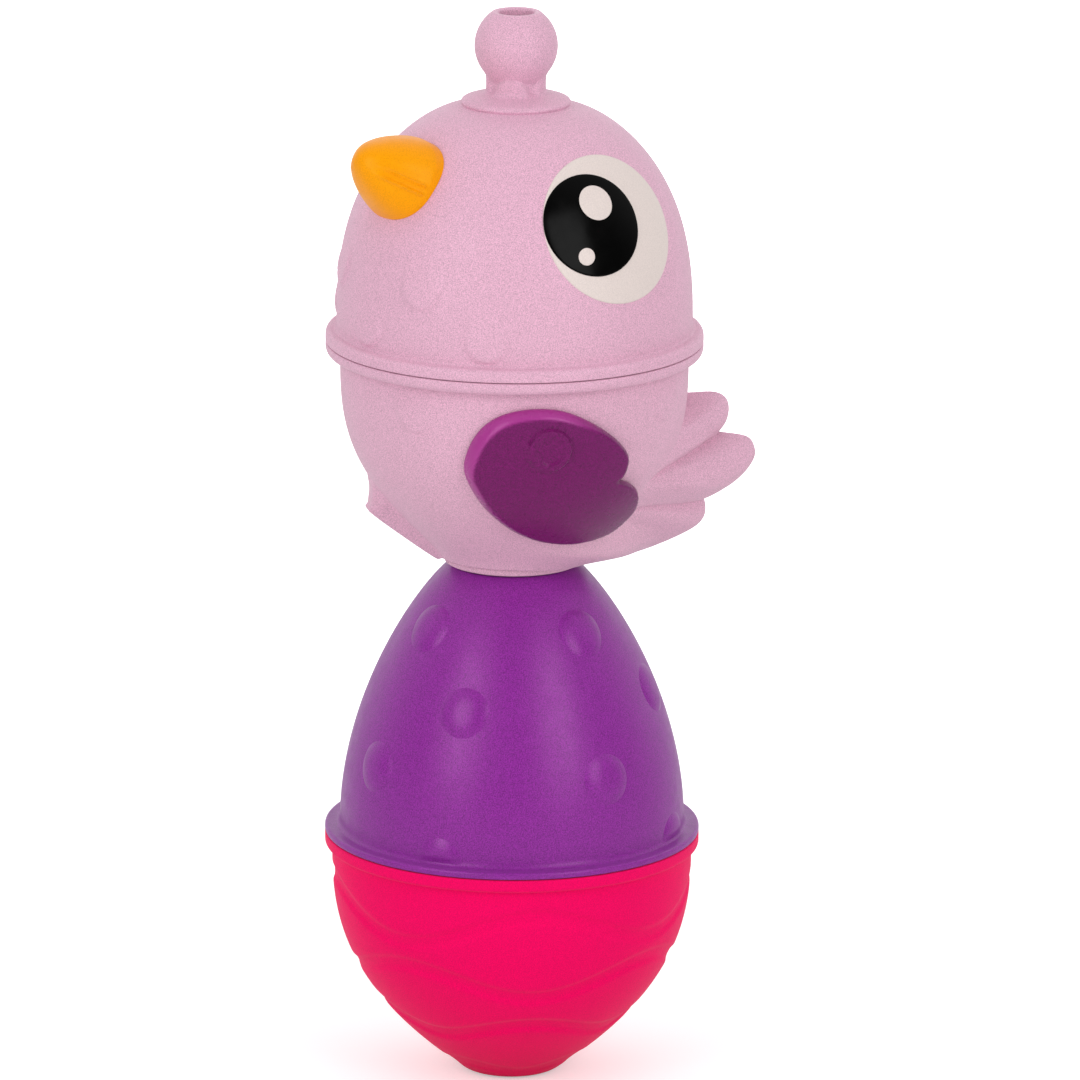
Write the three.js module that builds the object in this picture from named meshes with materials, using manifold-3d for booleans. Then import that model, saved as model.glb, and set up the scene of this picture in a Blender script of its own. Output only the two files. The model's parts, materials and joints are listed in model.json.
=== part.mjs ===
// Snap bead toy: a bird bead on an egg bead, in millimetres, +Z up.
// The origin is the centre of the egg's flat foot. The bird's body faces -Y, so its left side is +X.
// Azimuths are in degrees from the front, growing towards the bird's left.
import * as THREE from 'three';
import { mergeVertices } from 'three/addons/utils/BufferGeometryUtils.js';
import Module from 'manifold-3d';

const wasm = await Module();
wasm.setup();

// Clearances and walls
const FIT_GAP = 0.3; // between pieces that meet or turn on each other
const INLAY_GAP = 0.12; // round and under the inlays of the eyes
const SHELL_WALL = 2.2;
const CROWN_THICKNESS = 2.4;

// Heights of the four half shells, stacked from the foot
const CUP_HEIGHT = 41.2; // foot to egg seam
const DOME_HEIGHT = 45.7; // egg seam to the crown that carries the stud
const BODY_HEIGHT = 37.3; // underside of the socket ring to bird seam
const HEAD_HEIGHT = 38.9; // bird seam to the crown that carries the topknot
const EGG_SEAM = CUP_HEIGHT;
const EGG_CROWN = EGG_SEAM + DOME_HEIGHT;
const SOCKET_BASE = EGG_CROWN + FIT_GAP;
const BIRD_SEAM = SOCKET_BASE + BODY_HEIGHT;
const BIRD_CROWN = BIRD_SEAM + HEAD_HEIGHT;
const HEAD_TURN = 25; // degrees that the head is turned on the body

// Radii of the half shells
const RIM_RADIUS = 31;
const RIM_EDGE = 0.4;
const CUP_LIP = 1.2; // how far each rim stands out from its wall
const DOME_LIP = 2.5;
const BODY_LIP = 2.4;
const HEAD_LIP = 1.8;
const CUP_WALL_RADIUS = RIM_RADIUS - CUP_LIP;
const DOME_WALL_RADIUS = RIM_RADIUS - DOME_LIP;
const BODY_WALL_RADIUS = RIM_RADIUS - BODY_LIP;
const HEAD_WALL_RADIUS = RIM_RADIUS - HEAD_LIP;
const CUP_FOOT_RADIUS = 7.5;
const DOME_CROWN_RADIUS = 10.4;
const BODY_CROWN_RADIUS = 12.7;
const HEAD_CROWN_RADIUS = 10;

// Rims: height of the flange, then height of the fillet up to the wall
const CUP_RIM_HEIGHT = 2.2;
const CUP_FILLET_HEIGHT = 1.6;
const DOME_RIM_HEIGHT = 1.2;
const DOME_FILLET_HEIGHT = 1.4;
const BODY_RIM_HEIGHT = 2.1;
const BODY_FILLET_HEIGHT = 0.5;
const HEAD_RIM_HEIGHT = 2.1;
const HEAD_FILLET_HEIGHT = 1;

// Coupling rings, which turn in a lower half and which an upper half pushes onto
const RIM_WIDTH = 5.1; // from the mouth of each half to the edge of its rim
const SEAT_STEP = 1; // ledge that the ring stands on
const SEAT_DEPTH = 6;
const SPIGOT_HEIGHT = 6;
const COUPLING_WALL = 1.5;
const RIDGE_HEIGHT = 0.5; // ridge that keeps the ring in its seat
const RIDGE_LENGTH = 1.2;
const MOUTH_RADIUS = RIM_RADIUS - RIM_WIDTH;
const SEAT_RADIUS = MOUTH_RADIUS + SEAT_STEP;

// Ball stud on each crown
const BORE_RADIUS = 3.1;
const SHAFT_RADIUS = 6;
const BARB_STEP = 2;
const BARB_HEIGHT = 2;
const COLLAR_RADIUS = 9;
const COLLAR_HEIGHT = 2.2;
const COLLAR_EDGE = 0.8;
const NECK_RADIUS = 4.9;
const BALL_RADIUS = 6.8;
const BALL_RISE = 7.8; // collar's top to the centre of the ball
const BALL_FLAT_RADIUS = 3.9;
const STUD_HEIGHT = FIT_GAP + COLLAR_HEIGHT + BALL_RISE + Math.sqrt(BALL_RADIUS ** 2 - BALL_FLAT_RADIUS ** 2);

// Socket in the bird's underside
const SOCKET_FLANGE_RADIUS = 11.5;
const SOCKET_FLANGE_HEIGHT = 2.8;
const SKIRT_DEPTH = 1.7; // how far the body's underside comes down round the flange
const SOCKET_WALL = 1.5;
const SOCKET_BORE = BALL_RADIUS + FIT_GAP;
const SOCKET_NECK_RADIUS = SOCKET_BORE + SOCKET_WALL;
const BODY_CROWN = SOCKET_BASE + SOCKET_FLANGE_HEIGHT + FIT_GAP;

// Wavy grooves round the cup
const WAVE_COUNT = 4; // crests in a turn
const WAVE_ROWS = 4;
const WAVE_DROP = 9; // egg seam to the first row
const WAVE_PITCH = 9.6;
const WAVE_SWING = 3; // of the first row
const WAVE_SWING_LOSS = 0.7; // from row to row
const WAVE_WIDTH = 2;
const WAVE_DEPTH = 0.6;
const WAVE_AZIMUTH = 88; // of a crest in the first row

// Bumps on the dome: each row has two, and two more about opposite
const BUMP_RADIUS = 4.2;
const BUMP_HEIGHT = 0.8;
const BUMP_ROOT = 1.2;
const BUMP_SHOULDER_RADIUS = 2.9;
const BUMP_SHOULDER_HEIGHT = 0.65;
const BUMP_TOP_DROP = 8.6; // dome's crown to the top row
const BUMP_LOW_RISE = 3.5; // egg seam to the lowest row
const BUMP_AZIMUTHS = [
  [28, 120],
  [59, 157],
  [24, 115],
  [55, 149],
];
const BUMP_REPEAT = 172;
const BUMP_PITCH = (DOME_HEIGHT - BUMP_TOP_DROP - BUMP_LOW_RISE) / (BUMP_AZIMUTHS.length - 1);

// Wings: outline across (towards the tail) and above the wing's centre
const WING_AZIMUTH = 97;
const WING_DROP = 17; // bird seam to the wing's centre
const WING_THICKNESS = 2.2;
const WING_OUTLINE = [
  [9.9, -1.3],
  [12.1, -2.1],
  [14.2, -3.8],
  [15, -5.4],
  [15.3, -8],
  [13.9, -10],
  [11.7, -12.3],
  [8.5, -13.1],
  [4.7, -13.4],
  [2.1, -13.1],
  [-1.6, -12.3],
  [-5.3, -10.6],
  [-8.4, -8.5],
  [-11.6, -5.5],
  [-14, -2],
  [-15.3, 0.8],
  [-15.6, 3.1],
  [-14.7, 6.8],
  [-12.9, 9.6],
  [-10.3, 11.4],
  [-6.8, 12.3],
  [-2.7, 12.3],
  [1.1, 11.3],
  [5.7, 8.7],
  [8.9, 6.2],
  [11, 3.8],
  [11.6, 2.4],
  [11.3, 0.4],
  [10.7, -0.8],
];
const WING_BOSS_RADIUS = 3.6;
const WING_BOSS_HEIGHT = 0.4;
const WING_BOSS_ACROSS = -3.2;
const WING_BOSS_RISE = 5.65;
const PEG_RADIUS = 2.4; // pegs of wings and beak, pushed through the shells

// Tail and foot, drawn out of the body: reach past its widest radius, then rise above the socket's base
const TAIL_EDGE = [
  [0.4, 26.9],
  [5.8, 26.7],
  [7, 25.6],
  [7.3, 24.6],
  [6.9, 22.6],
  [5.5, 20.5],
  [10.6, 19.3],
  [11.9, 16.8],
  [11.4, 15.2],
  [9.6, 13.3],
  [6.8, 11.3],
  [3.3, 9.4],
  [3.3, 6.8],
  [2.7, 5.4],
  [1.4, 4.4],
  [-2.5, 2.5],
  [-7.6, 0.7],
  [-11.5, 0.2],
  [-16.2, 0.9],
];
const TAIL_EDGE_RADIUS = 2.2;
const TAIL_SPREAD = 44; // widest angle from the tail's edge to where its flank leaves the body
const TAIL_SWEEP = 0.15; // how fast the feathers drop round the flank
const FOOT_EDGE = [
  [-4.4, 15],
  [-4.7, 12.8],
  [-4.5, 10.3],
  [-4.9, 8.9],
  [-14.6, 1.3],
  [-16.2, 0.8],
];
const FOOT_HALF_WIDTH = 1.8; // of its edge
const FOOT_HALF_ROOT = 3.8; // where its flanks leave the body
const FLARE_CENTRE_RISE = 24.8; // point on the axis that tail and foot are drawn out from

// Beak
const BEAK_RISE = 29.85; // bird seam to its axis at the shell
const BEAK_TILT = 28.5;
const BEAK_RADIUS = 7.1; // half of its height
const BEAK_SIDE_RADIUS = 8; // half of its width
const BEAK_LENGTH = 9.8;
const BEAK_TAPER = 1.2;
const BEAK_BLUNTNESS = 1.85;
const BEAK_ROOT = 4;

// Eyes: inlays placed across (towards the tail) and up from the centre of the eye's white
const EYE_AZIMUTH = 93.8;
const EYE_RISE = 23.75; // bird seam to the eye's centre
const EYE_TILT = 24;
const EYE_THICKNESS = 0.45;
const WHITE_RADIUS = 12.6;
const PUPIL = { across: -3.6, up: 0.9, radius: 8.4 };
const LARGE_GLINT = { across: -2.75, up: 4.25, radius: 2.95 };
const SMALL_GLINT = { across: -6.75, up: -4.05, radius: 1.4 };

// Facets
const SHELL_SEGMENTS = 32;
const SHELL_ROWS = 8;
const WAVY_ROWS = 32;
const STUD_SEGMENTS = 20;
const ROUND_SEGMENTS = 16;
const BUMP_SEGMENTS = 8;
const ARC_DIVISIONS = 3;
const BEAK_ROWS = 6;
const BODY_COLUMNS = [
  ...[0, 4, 9, 15, 22, 31, 42, 54, 66, 79, 92], // degrees from the foot
  ...[105, 118, 130, 141, 150, 158, 165, 171, 176, 180], // and on to the tail
];
const CUT_OVERSHOOT = 1; // how far a cut runs past the face it opens
const CHORD_SLACK = 1e-6; // share of a chord by which a ray may pass its end

const CUP = {
  seam: EGG_SEAM,
  up: -1,
  height: CUP_HEIGHT,
  rimHeight: CUP_RIM_HEIGHT,
  filletHeight: CUP_FILLET_HEIGHT,
  wallRadius: CUP_WALL_RADIUS,
  crownRadius: CUP_FOOT_RADIUS,
  crownThickness: CROWN_THICKNESS,
  bulge: 2.44,
  taper: 1.03,
};
const DOME = {
  seam: EGG_SEAM,
  up: 1,
  height: DOME_HEIGHT,
  rimHeight: DOME_RIM_HEIGHT,
  filletHeight: DOME_FILLET_HEIGHT,
  wallRadius: DOME_WALL_RADIUS,
  crownRadius: DOME_CROWN_RADIUS,
  crownThickness: CROWN_THICKNESS,
  bulge: 1.82,
  taper: 0.85,
};
const BODY = {
  seam: BIRD_SEAM,
  up: -1,
  height: BIRD_SEAM - BODY_CROWN + SKIRT_DEPTH,
  rimHeight: BODY_RIM_HEIGHT,
  filletHeight: BODY_FILLET_HEIGHT,
  wallRadius: BODY_WALL_RADIUS,
  crownRadius: BODY_CROWN_RADIUS,
  crownThickness: CROWN_THICKNESS + SKIRT_DEPTH,
  bulge: 2.91,
  taper: 1.37,
};
const HEAD = {
  seam: BIRD_SEAM,
  up: 1,
  height: HEAD_HEIGHT,
  rimHeight: HEAD_RIM_HEIGHT,
  filletHeight: HEAD_FILLET_HEIGHT,
  wallRadius: HEAD_WALL_RADIUS,
  crownRadius: HEAD_CROWN_RADIUS,
  crownThickness: CROWN_THICKNESS,
  bulge: 2.59,
  taper: 0.67,
};

const radians = THREE.MathUtils.degToRad;
const points = (pairs) => pairs.map(([x, y]) => new THREE.Vector2(x, y));

// A closed mesh as a solid that can be joined and cut
function solid(geometry) {
  const bare = geometry.clone();
  bare.deleteAttribute('normal');
  bare.deleteAttribute('uv');
  const merged = mergeVertices(bare);
  const corners = merged.index.array;
  const triangles = [];
  for (let i = 0; i < corners.length; i += 3) {
    const triangle = [corners[i], corners[i + 1], corners[i + 2]];
    if (new Set(triangle).size === 3) triangles.push(...triangle);
  }
  return new wasm.Manifold(
    new wasm.Mesh({
      numProp: 3,
      vertProperties: Float32Array.from(merged.attributes.position.array),
      triVerts: Uint32Array.from(triangles),
    }),
  );
}

function geometryOf(shape) {
  const mesh = shape.getMesh();
  const geometry = new THREE.BufferGeometry();
  geometry.setAttribute('position', new THREE.BufferAttribute(mesh.vertProperties, 3));
  geometry.setIndex(new THREE.BufferAttribute(mesh.triVerts, 1));
  geometry.computeVertexNormals();
  return geometry;
}

// A profile of (radius, height) turned about Z. One that starts off the axis closes on itself.
function revolve(profile, segments) {
  const ordered = THREE.ShapeUtils.isClockWise(profile) ? profile.toReversed() : profile;
  const closed = profile[0].x > 0 ? [...ordered, ordered[0]] : ordered;
  return new THREE.LatheGeometry(closed, segments).rotateX(Math.PI / 2);
}

// A round bar about Z from one height to another
function bar(radius, from, to, segments = ROUND_SEGMENTS) {
  return revolve(points([[0, from], [radius, from], [radius, to], [0, to]]), segments);
}

// Radius of a half shell's wall at a distance from its seam
function wallRadius(shell, distance) {
  const start = shell.rimHeight + shell.filletHeight;
  const rise = THREE.MathUtils.clamp((distance - start) / (shell.height - start), 0, 1);
  const share = (1 - rise ** shell.bulge) ** shell.taper;
  return shell.crownRadius + (shell.wallRadius - shell.crownRadius) * share;
}

// Wall of a half shell as (radius, distance from the seam), from the rim's fillet to the crown's edge
function wallProfile(shell, rows = SHELL_ROWS) {
  const start = shell.rimHeight + shell.filletHeight;
  const profile = [];
  for (let row = 0; row <= rows; row += 1) {
    const rise = Math.sin((Math.PI / 2) * (row / rows));
    const distance = start + rise * (shell.height - start);
    profile.push(new THREE.Vector2(wallRadius(shell, distance), distance));
  }
  return profile;
}

function rimProfile(shell) {
  return points([
    [RIM_RADIUS - RIM_EDGE, FIT_GAP / 2],
    [RIM_RADIUS, FIT_GAP / 2 + RIM_EDGE],
    [RIM_RADIUS, shell.rimHeight - RIM_EDGE],
    [RIM_RADIUS - RIM_EDGE, shell.rimHeight],
  ]);
}

// A profile moved square to itself, towards the axis
function inset(profile, depth) {
  return profile.map((point, index) => {
    const before = profile[Math.max(index - 1, 0)];
    const after = profile[Math.min(index + 1, profile.length - 1)];
    const along = after.clone().sub(before).normalize();
    return new THREE.Vector2(point.x - along.y * depth, point.y + along.x * depth);
  });
}

// A profile measured from a half shell's seam, turned into a geometry at its place
function turned(shell, profile) {
  const placed = profile.map((point) => new THREE.Vector2(point.x, shell.seam + shell.up * point.y));
  return revolve(placed, SHELL_SEGMENTS);
}

function onAxis(profile, from, to) {
  return [new THREE.Vector2(0, from), ...profile, new THREE.Vector2(0, to)];
}

function filledShell(shell, rows = SHELL_ROWS) {
  const profile = [...rimProfile(shell), ...wallProfile(shell, rows)];
  return turned(shell, onAxis(profile, FIT_GAP / 2, shell.height));
}

// The space under a half shell's wall, open past the seam
function hollow(shell) {
  const ceiling = shell.height - shell.crownThickness;
  const fits = (point) => point.x < MOUTH_RADIUS && point.y < ceiling;
  const inner = inset(wallProfile(shell), SHELL_WALL).filter(fits);
  const mouth = points([[MOUTH_RADIUS, -CUT_OVERSHOOT], [MOUTH_RADIUS, inner[0].y]]);
  const top = new THREE.Vector2(inner.at(-1).x, ceiling);
  return solid(turned(shell, onAxis([...mouth, ...inner, top], -CUT_OVERSHOOT, ceiling)));
}

// The stepped seat of a coupling ring in a lower half, with a groove for the ring's ridge
function couplingSeat(shell) {
  const grooveRadius = SEAT_RADIUS + RIDGE_HEIGHT;
  const grooveHalf = RIDGE_LENGTH / 2 + FIT_GAP;
  const profile = points([
    [SEAT_RADIUS, -CUT_OVERSHOOT],
    [SEAT_RADIUS, SEAT_DEPTH / 2 - grooveHalf],
    [grooveRadius, SEAT_DEPTH / 2 - grooveHalf],
    [grooveRadius, SEAT_DEPTH / 2 + grooveHalf],
    [SEAT_RADIUS, SEAT_DEPTH / 2 + grooveHalf],
    [SEAT_RADIUS, SEAT_DEPTH],
  ]);
  return solid(turned(shell, onAxis(profile, -CUT_OVERSHOOT, SEAT_DEPTH)));
}

function crownHole(shell, radius) {
  const profile = points([
    [radius, shell.height - shell.crownThickness - CUT_OVERSHOOT],
    [radius, shell.height + CUT_OVERSHOOT],
  ]);
  return solid(turned(shell, onAxis(profile, profile[0].y, profile[1].y)));
}

// A layer over a half shell's wall, from one height above it to another
function skin(shell, low, high) {
  const wall = wallProfile(shell);
  return solid(turned(shell, [...inset(wall, -high), ...inset(wall, -low).toReversed()]));
}

// Turns a geometry built with X across, Y up and Z outwards to stand on a shell at an azimuth
function standOut(geometry, shell, distance, tilt, azimuth) {
  geometry.rotateX(Math.PI / 2 - radians(tilt));
  geometry.translate(0, -wallRadius(shell, distance), shell.seam + shell.up * distance);
  return geometry.rotateZ(radians(azimuth));
}

// Cup, with its wavy grooves pressed into the wall
function waveDepth(azimuth, height) {
  let depth = 0;
  for (let row = 0; row < WAVE_ROWS; row += 1) {
    const level = EGG_SEAM - WAVE_DROP - row * WAVE_PITCH;
    const swing = WAVE_SWING - row * WAVE_SWING_LOSS;
    const phase = WAVE_COUNT * (azimuth - radians(WAVE_AZIMUTH)) + row * Math.PI;
    const away = (height - level - swing * Math.cos(phase)) / (WAVE_WIDTH / 2);
    depth += WAVE_DEPTH * Math.exp(-away * away);
  }
  return depth;
}

function eggCup() {
  const geometry = filledShell(CUP, WAVY_ROWS);
  const place = geometry.attributes.position;
  const topOfWaves = EGG_SEAM - CUP_RIM_HEIGHT - CUP_FILLET_HEIGHT;
  for (let i = 0; i < place.count; i += 1) {
    const [x, y, z] = [place.getX(i), place.getY(i), place.getZ(i)];
    const radius = Math.hypot(x, y);
    if (radius > CUP_FOOT_RADIUS && z < topOfWaves) {
      const share = 1 - waveDepth(Math.atan2(x, -y), z) / radius;
      place.setXY(i, x * share, y * share);
    }
  }
  return geometryOf(solid(geometry).subtract(hollow(CUP)).subtract(couplingSeat(CUP)));
}

// Dome, with a low round bump wherever a row and an azimuth meet
function bump(row, azimuth) {
  const profile = points([
    [0, -BUMP_ROOT],
    [BUMP_RADIUS, -BUMP_ROOT],
    [BUMP_RADIUS, 0],
    [BUMP_SHOULDER_RADIUS, BUMP_SHOULDER_HEIGHT],
    [0, BUMP_HEIGHT],
  ]);
  const distance = DOME_HEIGHT - BUMP_TOP_DROP - row * BUMP_PITCH;
  const step = BUMP_RADIUS / 2;
  const fall = wallRadius(DOME, distance - step) - wallRadius(DOME, distance + step);
  const tilt = THREE.MathUtils.radToDeg(Math.atan2(fall, 2 * step));
  return solid(standOut(revolve(profile, BUMP_SEGMENTS), DOME, distance, tilt, azimuth));
}

function eggDome() {
  let dome = solid(filledShell(DOME));
  BUMP_AZIMUTHS.forEach((azimuths, row) => {
    for (const azimuth of azimuths) {
      dome = dome.add(bump(row, azimuth)).add(bump(row, azimuth + BUMP_REPEAT));
    }
  });
  const underRim = bar(RIM_RADIUS + BUMP_RADIUS, EGG_SEAM - BUMP_RADIUS, EGG_SEAM + FIT_GAP / 2);
  const trimmed = dome.subtract(solid(underRim)).subtract(hollow(DOME));
  return geometryOf(trimmed.subtract(crownHole(DOME, SHAFT_RADIUS + FIT_GAP)));
}

// Hollow ball stud: a barb under the crown, a collar on it, a neck and a ball with a flat top
function stud(crown) {
  const barbTop = crown - CROWN_THICKNESS - FIT_GAP;
  const collarBase = crown + FIT_GAP;
  const collarTop = collarBase + COLLAR_HEIGHT;
  const ballCentre = collarTop + BALL_RISE;
  const outline = new THREE.Path();
  outline.moveTo(BORE_RADIUS, barbTop - BARB_HEIGHT);
  outline.lineTo(SHAFT_RADIUS + BARB_STEP, barbTop - BARB_HEIGHT);
  outline.lineTo(SHAFT_RADIUS + BARB_STEP, barbTop);
  outline.lineTo(SHAFT_RADIUS, barbTop);
  outline.lineTo(SHAFT_RADIUS, collarBase);
  outline.lineTo(COLLAR_RADIUS - COLLAR_EDGE, collarBase);
  outline.lineTo(COLLAR_RADIUS, collarBase + COLLAR_EDGE);
  outline.lineTo(COLLAR_RADIUS, collarTop - COLLAR_EDGE);
  outline.lineTo(COLLAR_RADIUS - COLLAR_EDGE, collarTop);
  outline.lineTo(NECK_RADIUS, collarTop);
  const neckAngle = -Math.acos(NECK_RADIUS / BALL_RADIUS);
  const flatAngle = Math.acos(BALL_FLAT_RADIUS / BALL_RADIUS);
  outline.absarc(0, ballCentre, BALL_RADIUS, neckAngle, flatAngle);
  outline.lineTo(BORE_RADIUS, crown + STUD_HEIGHT);
  return revolve(outline.getPoints(ARC_DIVISIONS), STUD_SEGMENTS);
}

// Ring that turns in the seat of a lower half and carries the spigot of the upper half
function coupling(seam) {
  const spigotRadius = MOUTH_RADIUS - FIT_GAP;
  const innerRadius = spigotRadius - COUPLING_WALL;
  const ringRadius = SEAT_RADIUS - FIT_GAP;
  const ridgeRadius = ringRadius + RIDGE_HEIGHT;
  const foot = seam - SEAT_DEPTH + FIT_GAP;
  const shoulder = seam - FIT_GAP / 2;
  const ridge = seam - SEAT_DEPTH / 2;
  const profile = points([
    [innerRadius, foot],
    [ringRadius, foot],
    [ringRadius, ridge - RIDGE_LENGTH / 2],
    [ridgeRadius, ridge - RIDGE_LENGTH / 2],
    [ridgeRadius, ridge + RIDGE_LENGTH / 2],
    [ringRadius, ridge + RIDGE_LENGTH / 2],
    [ringRadius, shoulder],
    [spigotRadius, shoulder],
    [spigotRadius, seam + SPIGOT_HEIGHT],
    [innerRadius, seam + SPIGOT_HEIGHT],
  ]);
  return revolve(profile, SHELL_SEGMENTS);
}

// Socket that takes the egg's stud: flange with a recess for the collar, neck, barb and tube
function birdSocket() {
  const recessRadius = COLLAR_RADIUS + FIT_GAP;
  const collarTop = SOCKET_BASE + COLLAR_HEIGHT;
  const flangeTop = SOCKET_BASE + SOCKET_FLANGE_HEIGHT;
  const barbBase = BODY_CROWN + CROWN_THICKNESS + FIT_GAP;
  const barbRadius = SOCKET_NECK_RADIUS + FIT_GAP + SOCKET_WALL;
  const tubeTop = EGG_CROWN + STUD_HEIGHT + FIT_GAP;
  const profile = points([
    [recessRadius, SOCKET_BASE],
    [SOCKET_FLANGE_RADIUS - RIM_EDGE, SOCKET_BASE],
    [SOCKET_FLANGE_RADIUS, SOCKET_BASE + RIM_EDGE],
    [SOCKET_FLANGE_RADIUS, flangeTop - RIM_EDGE],
    [SOCKET_FLANGE_RADIUS - RIM_EDGE, flangeTop],
    [SOCKET_NECK_RADIUS, flangeTop],
    [SOCKET_NECK_RADIUS, barbBase],
    [barbRadius, barbBase],
    [barbRadius, barbBase + BARB_HEIGHT / 2],
    [SOCKET_NECK_RADIUS, barbBase + BARB_HEIGHT],
    [SOCKET_NECK_RADIUS, tubeTop],
    [SOCKET_BORE, tubeTop],
    [SOCKET_BORE, collarTop + FIT_GAP],
    [recessRadius - COLLAR_EDGE, collarTop + FIT_GAP],
    [recessRadius, collarTop + FIT_GAP - COLLAR_EDGE],
  ]);
  return revolve(profile, STUD_SEGMENTS);
}

// Tail, foot and bowl are curves of (radius, drop) about the point that they are drawn out from
const flareAngle = (point) => Math.atan2(point.x, point.y);
const flarePoint = (radius, rise) => new THREE.Vector2(radius, FLARE_CENTRE_RISE - rise);
const flareEdge = (edge) => edge.map(([reach, rise]) => flarePoint(BODY_WALL_RADIUS + reach, rise));

// Distance at which a ray at an angle from straight down meets a curve, or none past its ends
function distanceAt(curve, angle) {
  const ray = new THREE.Vector2(Math.sin(angle), Math.cos(angle));
  for (let i = 1; i < curve.length; i += 1) {
    const [before, after] = [curve[i - 1].cross(ray), curve[i].cross(ray)];
    const share = before / (before - after);
    const meets = share > -CHORD_SLACK && share < 1 + CHORD_SLACK;
    if (meets) return curve[i - 1].clone().lerp(curve[i], share).length();
  }
  return 0;
}

// Outside of the body: the bowl, with a tail of three feathers and a foot drawn out of it
function bodyOutside() {
  const rise = (distance) => BIRD_SEAM - distance - SOCKET_BASE;
  const wall = wallProfile(BODY).map((point) => flarePoint(point.x, rise(point.y)));
  const bowl = [...wall, flarePoint(0, rise(BODY.height))];
  const tail = flareEdge(TAIL_EDGE);
  const foot = flareEdge(FOOT_EDGE);
  const angles = [...wall, ...tail, ...foot].map(flareAngle);
  const rows = [...new Set(angles)].sort((a, b) => b - a);
  const columns = [...BODY_COLUMNS, ...BODY_COLUMNS.slice(1, -1).map((column) => 360 - column).reverse()];

  const drawnOut = (column, angle) => {
    const plain = distanceAt(bowl, angle);
    const fromTail = Math.abs(180 - column);
    const fromFoot = Math.min(column, 360 - column, 90);
    const tailReach = distanceAt(tail, angle + TAIL_SWEEP * radians(fromTail)) - plain;
    const spread = tailReach > 0 ? Math.acos(plain / (plain + tailReach)) : 0;
    const edge = TAIL_EDGE_RADIUS / (plain + tailReach);
    const flank = Math.min(edge + spread, radians(TAIL_SPREAD));
    const onTail = THREE.MathUtils.clamp((flank - radians(fromTail)) / (flank - edge), 0, 1);
    const footReach = distanceAt(foot, angle) - plain;
    const across = plain * Math.sin(angle) * Math.sin(radians(fromFoot));
    const onFoot = 1 - THREE.MathUtils.smoothstep(across, FOOT_HALF_WIDTH, FOOT_HALF_ROOT);
    return plain + Math.max(tailReach * onTail ** 2, footReach * onFoot, 0);
  };
  const place = (column, radius, height) => {
    const azimuth = radians(column);
    return [radius * Math.sin(azimuth), -radius * Math.cos(azimuth), height];
  };
  const rings = [];
  for (const point of rimProfile(BODY)) {
    rings.push(columns.map((column) => place(column, point.x, BIRD_SEAM - point.y)));
  }
  for (const angle of rows) {
    rings.push(
      columns.map((column) => {
        const distance = drawnOut(column, angle);
        const height = SOCKET_BASE + FLARE_CENTRE_RISE - distance * Math.cos(angle);
        return place(column, distance * Math.sin(angle), height);
      }),
    );
  }
  const around = columns.length;
  const vertices = [...rings.flat(), [0, 0, BIRD_SEAM - FIT_GAP / 2], [0, 0, BIRD_SEAM - BODY.height]];
  const [topCentre, bottomCentre] = [vertices.length - 2, vertices.length - 1];
  const triangles = [];
  for (let column = 0; column < around; column += 1) {
    const next = (column + 1) % around;
    const last = (rings.length - 1) * around;
    triangles.push(topCentre, column, next, bottomCentre, last + next, last + column);
    for (let ring = 0; ring + 1 < rings.length; ring += 1) {
      const [upper, lower] = [ring * around, (ring + 1) * around];
      triangles.push(upper + column, lower + column, lower + next);
      triangles.push(upper + column, lower + next, upper + next);
    }
  }
  const geometry = new THREE.BufferGeometry();
  geometry.setAttribute('position', new THREE.Float32BufferAttribute(vertices.flat(), 3));
  return geometry.setIndex(triangles);
}

// Peg or peg hole square to a wing, from inside the shell to the wing's middle
function wingPeg(side, radius) {
  const peg = bar(radius, -SHELL_WALL - 2 * FIT_GAP, FIT_GAP + WING_THICKNESS / 2);
  peg.translate(side * WING_BOSS_ACROSS, 0, 0);
  return solid(standOut(peg, BODY, WING_DROP - WING_BOSS_RISE, 0, side * WING_AZIMUTH));
}

function bodyShell() {
  const clearRadius = SOCKET_FLANGE_RADIUS + FIT_GAP;
  const flangeSeat = bar(clearRadius, SOCKET_BASE - CUT_OVERSHOOT, BODY_CROWN, SHELL_SEGMENTS);
  let body = solid(bodyOutside()).subtract(solid(flangeSeat));
  body = body.subtract(hollow(BODY)).subtract(couplingSeat(BODY));
  body = body.subtract(crownHole(BODY, SOCKET_NECK_RADIUS + FIT_GAP));
  for (const side of [-1, 1]) body = body.subtract(wingPeg(side, PEG_RADIUS + FIT_GAP));
  return geometryOf(body);
}

// Wing that hugs the body, with a round boss on its face and a peg behind it
function wing(side) {
  const outline = points(WING_OUTLINE.map(([across, up]) => [side * across, up]));
  const block = new THREE.ExtrudeGeometry(new THREE.Shape(outline), {
    depth: BODY_WALL_RADIUS,
    bevelEnabled: false,
  });
  block.translate(0, 0, -BODY_WALL_RADIUS / 2);
  const azimuth = side * WING_AZIMUTH;
  const blade = solid(standOut(block, BODY, WING_DROP, 0, azimuth));
  const face = FIT_GAP + WING_THICKNESS;
  const disc = bar(WING_BOSS_RADIUS, -BODY_WALL_RADIUS / 2, BODY_WALL_RADIUS / 2);
  disc.translate(side * WING_BOSS_ACROSS, 0, 0);
  const boss = solid(standOut(disc, BODY, WING_DROP - WING_BOSS_RISE, 0, azimuth));
  const plate = skin(BODY, FIT_GAP, face).intersect(blade);
  const raised = skin(BODY, face - FIT_GAP, face + WING_BOSS_HEIGHT).intersect(boss);
  return geometryOf(plate.add(raised).add(wingPeg(side, PEG_RADIUS)));
}

// Peg or peg hole of the beak, along the beak's axis
function beakPeg(radius) {
  const peg = bar(radius, -BEAK_ROOT, BEAK_ROOT);
  return solid(standOut(peg, HEAD, BEAK_RISE, BEAK_TILT, 0));
}

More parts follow.
